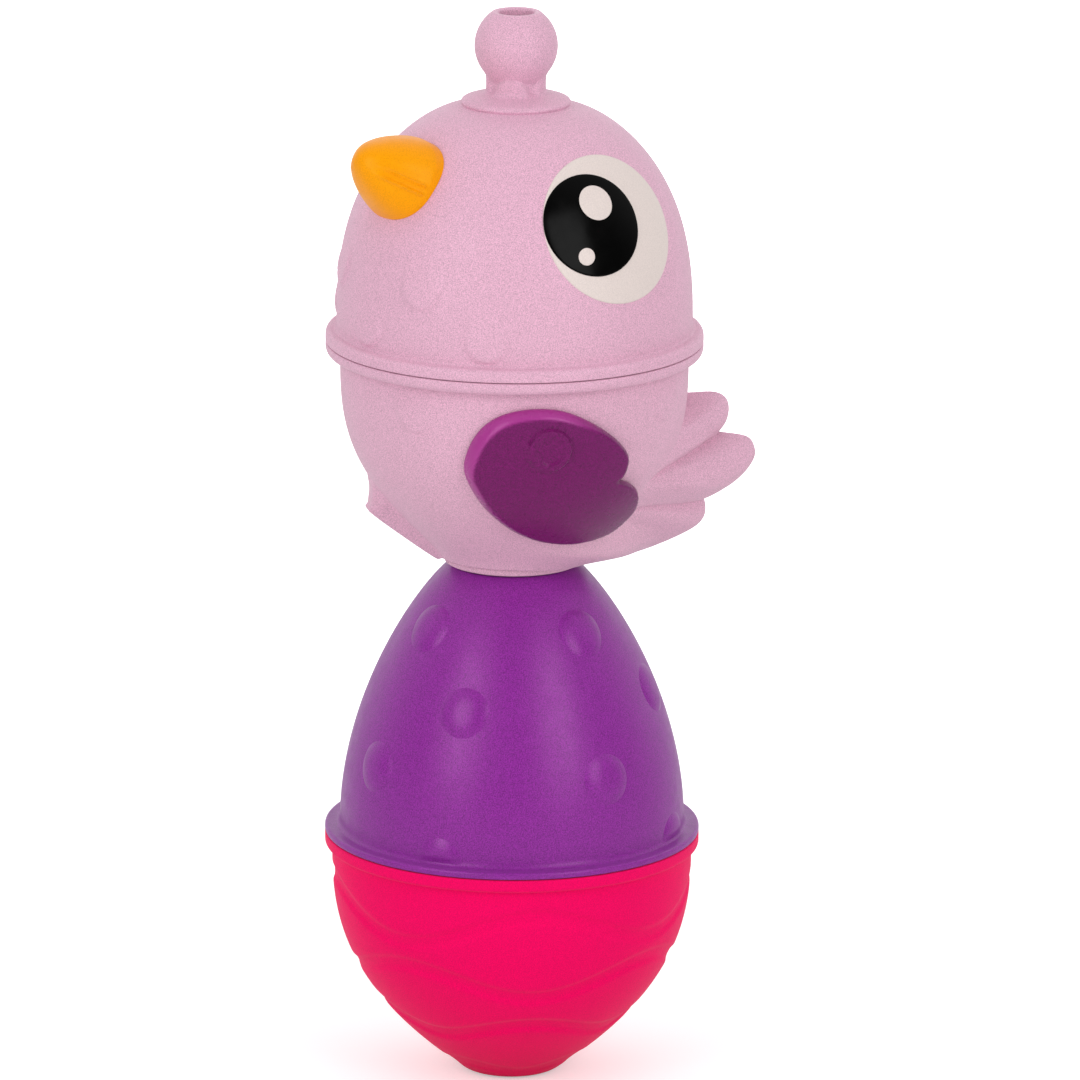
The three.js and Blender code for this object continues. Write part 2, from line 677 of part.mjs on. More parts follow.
// Blunt beak, wider than it is high
function beak() {
  const profile = points([[0, -BEAK_ROOT], [BEAK_RADIUS, -BEAK_ROOT]]);
  for (let row = 0; row <= BEAK_ROWS; row += 1) {
    const share = Math.sin((Math.PI / 2) * (row / BEAK_ROWS));
    const radius = BEAK_RADIUS * (1 - share ** BEAK_TAPER) ** (1 / BEAK_BLUNTNESS);
    profile.push(new THREE.Vector2(radius, share * BEAK_LENGTH));
  }
  const cone = revolve(profile, ROUND_SEGMENTS);
  cone.scale(BEAK_SIDE_RADIUS / BEAK_RADIUS, 1, 1);
  const clearOfHead = solid(turned(HEAD, onAxis(inset(wallProfile(HEAD), -FIT_GAP), 0, HEAD_HEIGHT)));
  const horn = solid(standOut(cone, HEAD, BEAK_RISE, BEAK_TILT, 0)).subtract(clearOfHead);
  return geometryOf(horn.add(beakPeg(PEG_RADIUS)));
}

function headShell() {
  const head = solid(filledShell(HEAD)).subtract(hollow(HEAD));
  const holed = head.subtract(crownHole(HEAD, SHAFT_RADIUS + FIT_GAP));
  return geometryOf(holed.subtract(beakPeg(PEG_RADIUS + FIT_GAP)));
}

// Round cutter square to an eye, for an inlay or for the hole that it lies in
function eyeCutter(side, { across, up, radius }, clearance = 0) {
  const cutter = bar(radius + clearance, -WHITE_RADIUS, WHITE_RADIUS);
  cutter.translate(side * across, up, 0);
  return solid(standOut(cutter, HEAD, EYE_RISE, EYE_TILT, side * EYE_AZIMUTH));
}

function eyeInlay(side, disc, holes) {
  const layer = skin(HEAD, INLAY_GAP, INLAY_GAP + EYE_THICKNESS);
  let inlay = layer.intersect(eyeCutter(side, disc));
  for (const hole of holes) inlay = inlay.subtract(eyeCutter(side, hole, INLAY_GAP));
  return geometryOf(inlay);
}

const LILAC = '#d9a9c6';
const PURPLE = '#7d2b90';
const PINK = '#ea1464';
const PLUM = '#6d2a63';
const ORANGE = '#f7a412';
const WHITE = '#e6dcd8';
const BLACK = '#0a0a0c';
const INNER_WHITE = '#e4dfe2';
const SOFT = 0.55;
const GLOSSY = 0.25;

function piece(name, geometry, color, roughness) {
  const mesh = new THREE.Mesh(
    geometry,
    new THREE.MeshStandardMaterial({ color, roughness, metalness: 0 }),
  );
  mesh.name = name;
  return mesh;
}

const egg = new THREE.Group();
egg.add(
  piece('egg_cup', eggCup(), PINK, SOFT),
  piece('egg_coupling', coupling(EGG_SEAM), INNER_WHITE, SOFT),
  piece('egg_dome', eggDome(), PURPLE, SOFT),
  piece('egg_stud', stud(EGG_CROWN), PURPLE, SOFT),
);

const birdBody = new THREE.Group();
birdBody.add(
  piece('bird_socket', birdSocket(), LILAC, SOFT),
  piece('body_shell', bodyShell(), LILAC, SOFT),
  piece('wing_left', wing(1), PLUM, GLOSSY),
  piece('wing_right', wing(-1), PLUM, GLOSSY),
  piece('bird_coupling', coupling(BIRD_SEAM), INNER_WHITE, SOFT),
);

const birdHead = new THREE.Group();
birdHead.rotation.z = radians(HEAD_TURN);
birdHead.add(
  piece('head_shell', headShell(), LILAC, SOFT),
  piece('head_stud', stud(BIRD_CROWN), LILAC, SOFT),
  piece('beak', beak(), ORANGE, SOFT),
);
const EYE_WHITE = { across: 0, up: 0, radius: WHITE_RADIUS };
for (const [label, side] of [['left', 1], ['right', -1]]) {
  birdHead.add(
    piece(`eye_white_${label}`, eyeInlay(side, EYE_WHITE, [PUPIL]), WHITE, SOFT),
    piece(`pupil_${label}`, eyeInlay(side, PUPIL, [LARGE_GLINT, SMALL_GLINT]), BLACK, GLOSSY),
    piece(`large_glint_${label}`, eyeInlay(side, LARGE_GLINT, []), WHITE, SOFT),
    piece(`small_glint_${label}`, eyeInlay(side, SMALL_GLINT, []), WHITE, SOFT),
  );
}

const toy = new THREE.Group();
toy.add(egg, birdBody, birdHead);

export default toy;
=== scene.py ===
"""Snap bead toy: a bird bead snapped onto a two-part egg bead, moulded in satin plastic."""
import json
import math
from collections import namedtuple

import bpy
import numpy as np
from bpy.props import FloatProperty, FloatVectorProperty, IntProperty, PointerProperty
from mathutils import Matrix, Vector, geometry


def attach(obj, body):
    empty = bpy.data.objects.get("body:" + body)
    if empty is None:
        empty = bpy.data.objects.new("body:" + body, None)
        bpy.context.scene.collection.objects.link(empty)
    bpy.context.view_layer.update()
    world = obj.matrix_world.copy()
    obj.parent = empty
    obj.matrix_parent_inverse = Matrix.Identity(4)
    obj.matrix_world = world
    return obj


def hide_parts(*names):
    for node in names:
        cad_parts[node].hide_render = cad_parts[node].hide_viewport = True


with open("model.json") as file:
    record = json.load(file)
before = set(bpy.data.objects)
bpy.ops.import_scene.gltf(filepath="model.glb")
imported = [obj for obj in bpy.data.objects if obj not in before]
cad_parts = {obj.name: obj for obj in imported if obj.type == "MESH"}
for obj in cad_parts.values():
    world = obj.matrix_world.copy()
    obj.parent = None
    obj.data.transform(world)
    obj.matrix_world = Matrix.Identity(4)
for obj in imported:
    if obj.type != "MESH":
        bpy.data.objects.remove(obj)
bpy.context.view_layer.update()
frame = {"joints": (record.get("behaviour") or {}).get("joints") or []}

bl_info = {
    "name": "Snap Bead Toy",
    "version": (1, 0, 0),
    "blender": (4, 5, 0),
    "location": "View3D > Sidebar > Snap Bead",
    "description": "Builds a bird bead and an egg bead that snap together, with their studio stage",
    "category": "Add Mesh",
}

# Shapes are worked out in millimetres, with heights above the egg's foot.
# Azimuths are in degrees from the bird's front (-Y), growing towards its left (+X).
MM = 0.001
JOINT_HEIGHT = {j["name"]: j["pos_m"][2] / MM for j in frame["joints"] if "pos_m" in j}
EGG_SEAM = JOINT_HEIGHT["egg_twist"]
SOCKET_BASE = JOINT_HEIGHT["bird_swivel"]
BIRD_SEAM = JOINT_HEIGHT["head_twist"]
HEAD_TURN = 25
FIT_GAP = 0.3
SEAM_GAP = 0.14
SEAM_EDGE = 0.28
EGG_CROWN = SOCKET_BASE - FIT_GAP
SHELL_WALL = 2.2
CROWN_THICKNESS = 2.4
SKIRT_DEPTH = 1.7
RIM_RADIUS = 31
MOUTH_RADIUS = 25.9
SEAT_RADIUS = 26.9
SEAT_DEPTH = 6
SPIGOT_HEIGHT = 6
RING_WALL = 1.5
RIDGE = 0.5
RIDGE_HALF = 0.6
FLANGE_RADIUS = 11.5
FLANGE_HEIGHT = 2.8
SOCKET_BORE = 7.1
SOCKET_NECK = 8.6
BORE_RADIUS = 2.9
SHAFT_RADIUS = 6
BARB_STEP = 2
COLLAR_RADIUS = 9
COLLAR_HEIGHT = 2.2
NECK_RADIUS = 4.9
BALL_RADIUS = 6.8
BALL_RISE = 7.8
BALL_FLAT = 3.9

# A half of a bead: rim and fillet from the seam, radii of wall and crown, and the curve between them
Shell = namedtuple("Shell", "seam up height rim fillet wall crown thick bulge taper")
CUP = Shell(seam=EGG_SEAM, up=-1, height=EGG_SEAM, rim=2.2, fillet=1.6, wall=29.8, crown=7.5,
            thick=CROWN_THICKNESS, bulge=2.44, taper=1.03)
DOME = Shell(seam=EGG_SEAM, up=1, height=EGG_CROWN - EGG_SEAM, rim=1.2, fillet=1.4, wall=28.5,
             crown=10.4, thick=CROWN_THICKNESS, bulge=1.82, taper=0.85)
BODY_CROWN = SOCKET_BASE + FLANGE_HEIGHT + FIT_GAP
BODY_BASE = BODY_CROWN - SKIRT_DEPTH
BODY = Shell(seam=BIRD_SEAM, up=-1, height=BIRD_SEAM - BODY_BASE, rim=2.1, fillet=0.5, wall=28.6,
             crown=12.7, thick=CROWN_THICKNESS + SKIRT_DEPTH, bulge=2.91, taper=1.37)
HEAD = Shell(seam=BIRD_SEAM, up=1, height=38.9, rim=2.1, fillet=0.6, wall=29.2, crown=10,
             thick=CROWN_THICKNESS, bulge=2.59, taper=0.67)
BIRD_CROWN = BIRD_SEAM + HEAD.height
CORNER_SHARE = 0.48
FILLET_SHARE = 0.35
RIM_SPARE = 0.1
CROWN_EDGE = 0.3
CROWN_BEVEL = (0.08, 0.1)
POLE_RING = 0.5

# Faces up the walls and round the pieces
CUP_ROWS, DOME_ROWS, HEAD_ROWS, BODY_ROWS, INNER_ROWS = 150, 130, 110, 222, 28
DOME_COLUMNS, BODY_COLUMNS, RING_COLUMNS, SMALL_COLUMNS, BEAK_COLUMNS = 400, 360, 192, 128, 256
BOWL_ROWS, FINE_ROWS, FINE_COLUMNS, FINE_STEPS, EDGE_STEPS = 300, 2000, 3600, 40, 24

FOOT_ROUNDING = 2.2
FOOT_MIDDLE = 2.5
WAVE_ROWS = 4
WAVES_ROUND = 4
WAVE_AZIMUTH = 88
WAVE_DROP = 9.8
WAVE_PITCH = 9.6
WAVE_FLATTENING = 0.7
LOWEST_WAVE = 0.5
WAVE_FOOT = (0.2, 2.5)
WAVE_TOP = (EGG_SEAM - 3.8, EGG_SEAM - 2.4)
BUMP_ROWS = ((28, 120, 208, 296), (60, 157, 236, 315), (24, 115, 196, 287), (55, 149, 227, 318))
BUMP_RISES = (37.1, 25.8, 14.7, 1.5)
BUMP_ROUNDNESS = 2.8
BUMP_START = 0.2
DOME_RIM_EDGE = 0.5
FEATHERS_HEAD = ((0, 127.3), (46, 127.3), (-46, 127.3), (23, 135), (-23, 135))
FEATHERS_BODY = ((46, 114.3), (-46, 114.3), (140, 114.3), (-140, 114.3))
FEATHER_FADE = (-0.5, 4)
FEATHER_EDGE = (-0.35, 0.1)

COLLAR_LIFT = 0.03
COLLAR_FILLET = 2.2
FILLET_SEAT, FILLET_DIP, FILLET_BEND = 0.4, 0.13, 0.1
WAIST = (COLLAR_RADIUS - 0.2, 0.6)
DISC_EDGE = (COLLAR_RADIUS + 0.05, 0.95)
DISC_TOP = (COLLAR_RADIUS - 0.3, 1.5)
NECK_FOOT = NECK_RADIUS + 1.2
NECK_RISE = 1.1
BARB_HEIGHT = 2
BALL_BLEND = 0.16
UNDER_BALL = 1
BORE_CLEAR = 0.6
FLUTE_RISE = 0.6
FLUTE_HEIGHT = 2.6
FLUTE_HALF = 38
FLUTE_EDGE = (-10, 6)
FLUTE_FOOT = (0, 0.9)
FLUTE_TOP = (2, 3.6)

# Edges of the three tail feathers and of the foot: reach past the wall, rise above the socket's base
TAIL_FEATHERS = (
    ((0.4, 27.3), (4.6, 27.3), (6.6, 26.4), (7.3, 24.8), (6.9, 22.6), (5.5, 20.5)),
    ((5.5, 20.5), (10.4, 19.5), (11.8, 17.3), (11.4, 15.5), (9.6, 13.3), (6.8, 11.3), (3.3, 9.4)),
    ((3.3, 9.4), (3.6, 7.6), (3.2, 6), (1.6, 4.5), (-2.5, 2.5), (-7.6, 0.7), (-11.5, 0.2),
     (-16.2, 0.9)),
)
FOOT_EDGE = ((-4.4, 15), (-4.7, 12.8), (-4.5, 10.3), (-4.9, 8.9), (-14.6, 1.6), (-15.9, 1.35))
FLARE_CENTRE = SOCKET_BASE + 24.8
TAIL_CREASES = ((82.8, 1.1, 1.5), (64.2, 0.6, 0.7))  # angle, depth, half width

# How tail and foot go over into the bowl; angles are from straight down, in degrees
TAIL_SWEEP = ((45, 63, 82), (0.05, 0.28, 0.4))
TAIL_WIDEST = ((70, 84), (44, 22))
TAIL_FALL = ((66, 82), (2, 1.4))
SKIRT_ANGLES = (38, 52)
SKIRT_SPREAD = 105
SKIRT_FALL = 1.5
SKIRT_TURN = 0.4
CREASE_SIDES = (0, 7)
CREASE_FADE = (0.02, 0.3)
FOOT_SIDES = (1.6, 3.9)
FEATHER_CLEAR = (0, 0.5)
TAIL_CROWDING = (2.2, 16)  # how much closer the columns lie, and the width
FOOT_CROWDING = (1.2, 14)
ROW_CROWDING = 36
STEEPEST = 0.3

# Wing outline: across towards the tail, then height
WING_AZIMUTH = 97
WING_OUTLINE = (
    (9.9, 106.2), (12.1, 105.4), (14.2, 103.7), (15, 102.1), (15.3, 99.5), (13.9, 97.5), (11.7, 95.2),
    (8.5, 94.4), (4.7, 94.1), (2.1, 94.4), (-1.6, 95.2), (-5.3, 96.9), (-8.4, 99), (-11.6, 102),
    (-14, 105.5), (-15.3, 108.3), (-15.6, 110.6), (-14.7, 114.3), (-12.9, 117.1), (-10.3, 118.9),
    (-6.8, 119.8), (-2.7, 119.8), (1.1, 118.8), (5.7, 116.2), (8.9, 113.7), (11, 111.3), (11.6, 109.9),
    (11.3, 107.9), (10.7, 106.7), (9.9, 106.2),
)
WING_BOSS = (-3.2, 113.15)
# Painted light: a mesh attribute marks the wings' edges that face up and to the front (UPPER_FRONT), which
# get a brighter colour standing in for lamp light on their walls
LIT_EDGE_PAINT = "edge_glow"
UPPER_FRONT = np.array([0.7, 0.7])
WING_PITCH = 0.36
ROW_PITCH = 0.87 * WING_PITCH
EDGE_CLEAR = 0.6 * WING_PITCH
CIRCLE_CLEAR = 0.55 * WING_PITCH
BEVEL_LOW, BEVEL_GAIN = 0.5, 0.85
GLOW_EDGE = (0.8, 1.1)
WING_SMOOTHING = 24
OUTLINE_STEPS = 8
BOSS_COLUMNS = 72
SAME_POINT = 1e-5
NOTCH_KEPT = (0.4, 2)
BOSS_CIRCLES = (0.2, -0.2, -1.1, -1.5)
BOSS_DISH = 0.5
BOSS_PEG = 2.4
PEG_GAP = 0.02
UPPER_EDGE = np.array([0.94, 0.35])
UPPER_FADE = (-0.3, 1)
FRONT_FADE = (0, 9)
GLOW_FADE = (-0.5, 0.6)
EDGE_SHARE = 0.35

BEAK_RISE = 29.85
BEAK_TILT = 28.5
BEAK_RADIUS = 7.1
BEAK_WIDTH = 8 / BEAK_RADIUS
BEAK_LENGTH = 9.8
BEAK_SQUARENESS = 2.35
BEAK_TAPER = 1.2
BEAK_FULLNESS = 1.85
BEAK_LIFT = 0.05
BEAK_ROWS = 60
BEAK_SEAT = (0.15, 0.4, 0.7, 0.9)
HEAD_REACH = (-12.0, 6.0)
HALVINGS = 40
MOUTH_LINES = (-0.3, -1.75)
MOUTH_HALF = 0.26
MOUTH_START = (0.2, 1.2)
MOUTH_END = (6.2, 8.4)
MOUTH_SIDES = (1, 2.5)
EYE_AZIMUTH = 93.8
EYE_RISE = 23.75
EYE_TILT = 24
PUPIL = (-3.9, 0.9)
LARGE_GLINT = (-2.75, 4.25, 2.95)
SMALL_GLINT = (-6.75, -4.05, 1.4)
WHITE_LAYER = (0.02, 0.2)
PUPIL_LAYER = (0.22, 0.36)
GLINT_LAYER = (0.38, 0.5)
INLAY_EDGE = (0.08, 0.25)
INLAY_RINGS = (0.9, 0.1, 12)

PIGMENT_SCALE, GLOSS_SCALE, GRAIN_SCALE = 5500, 420, 1800
GLOSS_SPREAD = 0.05
GRAIN_DEPTH = 0.1
SHEEN_ROUGHNESS = 0.4

SENSOR_WIDTH = 36
LENS = 332.99
FAR_CLIP = 20
AIM_HEIGHT = 90.554
PAN = 0.1523
ROLL = 0.3157
SOFTBOXES = (("left_softbox", 40), ("right_softbox", 118))
SOFTBOX_ELEVATION = 24
SOFTBOX_DISTANCE = 0.9
SOFTBOX_SIZE = (0.4, 0.6)
SOFTBOX_AIM = 90
BACKDROP_AWAY, BACKDROP_UP = 0.8, 0.6
BACKDROP_EDGE = (-0.1, 0.5)
FLOOR_HALF = 4
FLOOR_ROUGHNESS = 0.9
FLOOR_GLOW = (0.4, 1)
FLOOR_GLOW_REACH = (0.05, 0.5)
WHITE = (1, 1, 1, 1)
SIDES = (("left", 1), ("right", -1))


def length(description, millimetres):
    """A length property whose default is given in millimetres"""
    return FloatProperty(description=description, default=millimetres * MM, min=0,
                         subtype="DISTANCE", unit="LENGTH", precision=5)


def angle_of(description, degrees):
    """An angle property whose default is given in degrees"""
    return FloatProperty(description=description, default=math.radians(degrees),
                         subtype="ANGLE", unit="ROTATION")


def colour(description, default):
    """A colour property"""
    return FloatVectorProperty(description=description, default=default, min=0, max=1,
                               size=3, subtype="COLOR")


class BeadSizes(bpy.types.PropertyGroup):
    """Sizes of the moulded detail"""

    rim_edge: length("Rounding of the rims", 1.4)
    wave_depth: length("Depth of the cup's wavy grooves", 0.38)
    wave_width: length("Width of the cup's wavy grooves", 2.5)
    wave_swing: length("Half of the uppermost wave's height", 3)
    bump_radius: length("Radius of the dome's bumps", 4.2)
    bump_height: length("Height of the dome's bumps", 0.65)
    feather_width: length("Width of the feather tips", 7.4)
    feather_height: length("How far the feather tips stand out", 0.45)
    tail_edge: length("Rounding of the tail's edge", 2.2)
    wing_thickness: length("Thickness of the wings", 1.85)
    wing_bevel: length("Width of the wings' sloping edge", 1.1)
    boss_radius: length("Radius of the round boss on each wing", 3.6)
    boss_height: length("Height of the round boss on each wing", 0.65)
    mouth_ridge: length("Height of the two ridges along the beak", 0.55)
    eye_radius: length("Radius of the white of each eye", 12.42)
    pupil_radius: length("Radius of each pupil", 8.5)
    flute_depth: length("Depth of the recesses in the studs' necks", 0.75)
    columns: IntProperty(description="Faces round the plain shells", default=288, min=24)


class BeadColours(bpy.types.PropertyGroup):
    """Colours of the plastics"""

    lilac: colour("Head, body, socket and topknot", (0.70, 0.40, 0.53))
    purple: colour("Upper half of the egg", (0.24, 0.02, 0.28))
    pink: colour("Lower half of the egg", (0.92, 0.002, 0.12))
    plum: colour("Wings", (0.15, 0.004, 0.10))
    orange: colour("Beak", (0.92, 0.33, 0.002))
    eye_white: colour("Whites and glints of the eyes", (0.73, 0.635, 0.60))
    black: colour("Pupils", (0.001, 0.001, 0.001))
    inner_white: colour("Coupling rings", (0.74, 0.71, 0.73))


class BeadStage(bpy.types.PropertyGroup):
    """Camera, lamps and floor"""

    view_azimuth: angle_of("Side that the camera looks from", 80)
    view_elevation: angle_of("Angle that the camera looks down by", 14.589)
    view_distance: length("Camera to the middle of the toy", 1645.61)
    lamp_power: FloatProperty(description="Power of each softbox", default=3.05, min=0, unit="POWER")
    room_light: FloatProperty(description="Strength of the light from all round", default=0.2, min=0)
    floor: colour("Colour of the floor", (0.8, 0.8, 0.8))


# Plastics

def connect(tree, node, inputs):
    """Links each input to a socket, or sets it to a constant"""
    for name, value in inputs.items():
        if isinstance(value, bpy.types.NodeSocket):
            tree.links.new(value, node.inputs[name])
        else:
            node.inputs[name].default_value = value


def add_node(tree, kind, inputs, **settings):
    """A new node with its settings and inputs"""
    node = tree.nodes.new(kind)
    for name, value in settings.items():
        setattr(node, name, value)
    connect(tree, node, inputs)
    return node


def noise(tree, place, scale, detail):
    """Noise whose grain is about 1/scale metres across"""
    inputs = {"Vector": place, "Scale": scale, "Detail": detail}
    return add_node(tree, "ShaderNodeTexNoise", inputs).outputs["Fac"]


def spread(tree, value, low, high, start=0.3, end=0.7, **settings):
    """Maps start to end, by default the middle of a noise, onto low to high"""
    inputs = {"Value": value, "From Min": start, "From Max": end, "To Min": low, "To Max": high}
    return add_node(tree, "ShaderNodeMapRange", inputs, **settings).outputs["Result"]


def plastic(name, tint, roughness, specular=0.4, glint=(1, 1, 1), sheen=0.0, speckle=0.06, grain=0.06,
            lit_edge_colour=None):
    """Moulded plastic: speckled pigment, uneven gloss, a fine spark-eroded grain and, where an edge colour
    is given, painted light on the edges that the mesh attribute marks
    """
    material = bpy.data.materials.new(name)
    material.use_nodes = True
    tree = material.node_tree
    place = tree.nodes.new("ShaderNodeTexCoord").outputs["Object"]
    pigment = add_node(tree, "ShaderNodeMix", {
        "A": [channel * (1 - speckle) for channel in tint] + [1],
        "B": [min(channel * (1 + speckle), 1) for channel in tint] + [1],
        "Factor": spread(tree, noise(tree, place, PIGMENT_SCALE, 1), 0, 1),
    }, data_type="RGBA").outputs["Result"]
    # Painted light: a brighter colour is mixed in where the edge attribute is set, standing in for lamp
    # light on the wall
    if lit_edge_colour:
        edge = add_node(tree, "ShaderNodeAttribute", {}, attribute_name=LIT_EDGE_PAINT).outputs["Fac"]
        pigment = add_node(tree, "ShaderNodeMix", {"A": pigment, "B": (*lit_edge_colour, 1), "Factor": edge},
                           data_type="RGBA").outputs["Result"]
    gloss = noise(tree, place, GLOSS_SCALE, 4)
    bump = add_node(tree, "ShaderNodeBump", {
        "Strength": grain, "Distance": GRAIN_DEPTH * MM, "Height": noise(tree, place, GRAIN_SCALE, 4)})
    connect(tree, tree.nodes["Principled BSDF"], {
        "Base Color": pigment,
        "Roughness": spread(tree, gloss, roughness - GLOSS_SPREAD, roughness + GLOSS_SPREAD),
        "Normal": bump.outputs["Normal"],
        "Specular IOR Level": specular,
        "Specular Tint": (*glint, 1),
        "Sheen Weight": sheen,
        "Sheen Roughness": SHEEN_ROUGHNESS,
    })
    return material


def finish_of(slot):
    """The plastic of a material slot, made once"""
    name = slot + "_plastic"
    if name in bpy.data.materials:
        return bpy.data.materials[name]
    tint = getattr(bpy.context.scene.bead_colours, slot)
    looks = {
        "lilac": dict(roughness=0.5, specular=0.3, sheen=0.18, speckle=0.22, grain=0.1),
        "purple": dict(roughness=0.35, specular=0.4, glint=(1, 0.6, 0.95), sheen=0.06, speckle=0.35,
                       grain=0.12),
        "pink": dict(roughness=0.6, specular=0.03, sheen=0.1, speckle=0.14, grain=0.1),
        # The plum's brighter edge colour is painted light on the wings' lit walls
        "plum": dict(roughness=0.28, specular=0.3, glint=(1, 0.7, 0.95), sheen=0.08, speckle=0.4,
                     grain=0.08, lit_edge_colour=(0.38, 0.04, 0.26)),
        "orange": dict(roughness=0.34, specular=0.2, glint=(1, 0.8, 0.3), speckle=0.1, grain=0.12),
        "eye_white": dict(roughness=0.4, specular=0.2, speckle=0.06),
        "black": dict(roughness=0.2, specular=0.06, grain=0.01),
        "inner_white": dict(roughness=0.45),
    }
    return plastic(name, tint, **looks[slot])


# Meshes

def radial(azimuth):
    """Unit vectors that point out at the azimuths, in degrees"""
    turn = np.radians(azimuth)
    return np.stack([np.sin(turn), -np.cos(turn), np.zeros_like(turn)], -1)


def outward(vertices, quads, triangles):
    """The faces, turned to look outwards"""
    halves = join(quads[:, [0, 1, 2]], quads[:, [0, 2, 3]], triangles)
    a, b, c = (vertices[halves[:, i]] for i in range(3))
    if np.einsum("ij,ij->", a, np.cross(b, c)) < 0:
        return quads[:, ::-1].tolist() + triangles[:, ::-1].tolist()
    return quads.tolist() + triangles.tolist()


def new_piece(node, body, slot, vertices, quads, triangles, form="moulding", sharp=35, glow=None):
    """A smooth mesh in the finish of a slot, put on its body in place of the plain solid"""
    name = f"{node.removesuffix('_shell')}_{form}"
    mesh = bpy.data.meshes.new(name)
    mesh.from_pydata((vertices * MM).tolist(), [], outward(vertices, quads, triangles))
    mesh.shade_smooth()
    mesh.set_sharp_from_angle(angle=math.radians(sharp))
    mesh.materials.append(finish_of(slot))
    # Painted light on the wings' edges, carried as a point attribute for the material
    if glow is not None:
        mesh.attributes.new(LIT_EDGE_PAINT, "FLOAT", "POINT").data.foreach_set("value", glow.astype(np.float32))
    piece = bpy.data.objects.new(name, mesh)
    bpy.context.scene.collection.objects.link(piece)
    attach(piece, body)
    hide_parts(node)


def ring_piece(node, body, slot, rings, poles=(), crease=None, **options):
    """A closed piece from rings: a loop of rings, or a run that ends in a point at each end"""
    vertices = rings.reshape(-1, 3)
    index = np.arange(len(vertices)).reshape(rings.shape[:2])
    following = np.roll(index, -1, 1)
    corners = np.stack([index, following, np.roll(following, -1, 0), np.roll(index, -1, 0)], -1)
    quads = (corners[:-1] if poles else corners).reshape(-1, 4)
    triangles = np.zeros((0, 3), int)
    if poles:
        ends = ((following[0], index[0]), (index[-1], following[-1]))
        caps = [np.stack([a, b, np.full_like(a, index.size + i)], -1) for i, (a, b) in enumerate(ends)]
        triangles = join(*caps)
        vertices = join(vertices, np.array(poles, float))
    if crease is not None:
        on = crease.reshape(-1)[quads]
        first = on[:, 0] & on[:, 2] & ~(on[:, 1] & on[:, 3])
        second = on[:, 1] & on[:, 3] & ~(on[:, 0] & on[:, 2])
        splits = [quads[first][:, [0, 1, 2]], quads[first][:, [0, 2, 3]],
                  quads[second][:, [0, 1, 3]], quads[second][:, [1, 2, 3]]]
        triangles = np.concatenate([triangles] + splits)
        quads = quads[~(first | second)]
    new_piece(node, body, slot, vertices, quads, triangles, **options)


def join(*parts):
    """Points of several paths, end to end"""
    return np.concatenate(parts)


def even(count):
    """Azimuths of evenly spaced columns"""
    return np.arange(count) * (360 / count)


def turned(profile, azimuths):
    """Rings of a profile of (radius, height) turned about the axis"""
    rings = profile[:, None, :1] * radial(azimuths)[None]
    rings[..., 2] = profile[:, 1:2]
    return rings


def bend(start, corner, end, steps=6):
    """A rounded corner"""
    t = np.linspace(0, 1, steps)[:, None]
    start, corner, end = (np.array(p, float) for p in (start, corner, end))
    return (1 - t) ** 2 * start + 2 * t * (1 - t) * corner + t ** 2 * end


def rounded(corners, closed=True):
    """A path through (radius, height, rounding) corners, with the corners rounded off"""
    points = np.array([corner[:2] for corner in corners], float)
    path = []
    for i, (_, _, rounding) in enumerate(corners):
        at_end = not closed and i in (0, len(corners) - 1)
        if at_end or rounding == 0:
            path.append(points[i:i + 1])
            continue
        back = points[i - 1] - points[i]
        ahead = points[(i + 1) % len(points)] - points[i]
        reach = [min(rounding, CORNER_SHARE * np.linalg.norm(side)) for side in (back, ahead)]
        start = points[i] + back / np.linalg.norm(back) * reach[0]
        end = points[i] + ahead / np.linalg.norm(ahead) * reach[1]
        path.append(bend(start, points[i], end))
    return join(*path)


def curve_through(points, steps):
    """A smooth curve through points, from the first to the last"""
    points = np.array(points, float)
    padded = join(2 * points[:1] - points[1:2], points, 2 * points[-1:] - points[-2:-1])
    t = np.arange(steps)[:, None] / steps
    spans = []
    for a, b, c, d in zip(padded, padded[1:], padded[2:], padded[3:]):
        spans.append(0.5 * (2 * b + (c - a) * t + (2 * a - 5 * b + 4 * c - d) * t ** 2
                            + (3 * b - a - 3 * c + d) * t ** 3))
    return np.concatenate(spans + [points[-1:]])


def smoothstep(value, low, high):
    """0 up to low, 1 from high on, and a smooth rise between them"""
    share = np.clip((value - low) / (high - low), 0, 1)
    return share * share * (3 - 2 * share)


def bell(value):
    """1 at 0, falling away alike on both sides"""
    return np.exp(-value ** 2)


def half_turn(degrees):
    """The same angles, brought between -180 and 180 degrees"""
    return (degrees + 180) % 360 - 180


def running(steps):
    """Running total of steps, from 0"""
    return join([0], np.cumsum(steps))


def run_along(path):
    """Distance along a path at each of its points"""
    return running(np.linalg.norm(np.diff(path, axis=0), axis=1))


# Shells

def wall_radius(shell, distance):
    """Radius of a half shell's wall at a distance from its seam"""
    start = shell.rim + shell.fillet
    rise = np.clip((distance - start) / (shell.height - start), 0, 1)
    return shell.crown + (shell.wall - shell.crown) * (1 - rise ** shell.bulge) ** shell.taper


def wall_profile(shell, rows):
    """(radius, distance from the seam) from the rim's fillet to the crown"""
    start = shell.rim + shell.fillet
    rise = np.sin(np.linspace(0, math.pi / 2, FINE_STEPS * rows))
    distance = start + rise * (shell.height - start)
    fine = np.stack([wall_radius(shell, distance), distance], -1)
    run = run_along(fine)
    even_run = np.linspace(0, run[-1], rows)
    return np.stack([np.interp(even_run, run, column) for column in fine.T], -1)


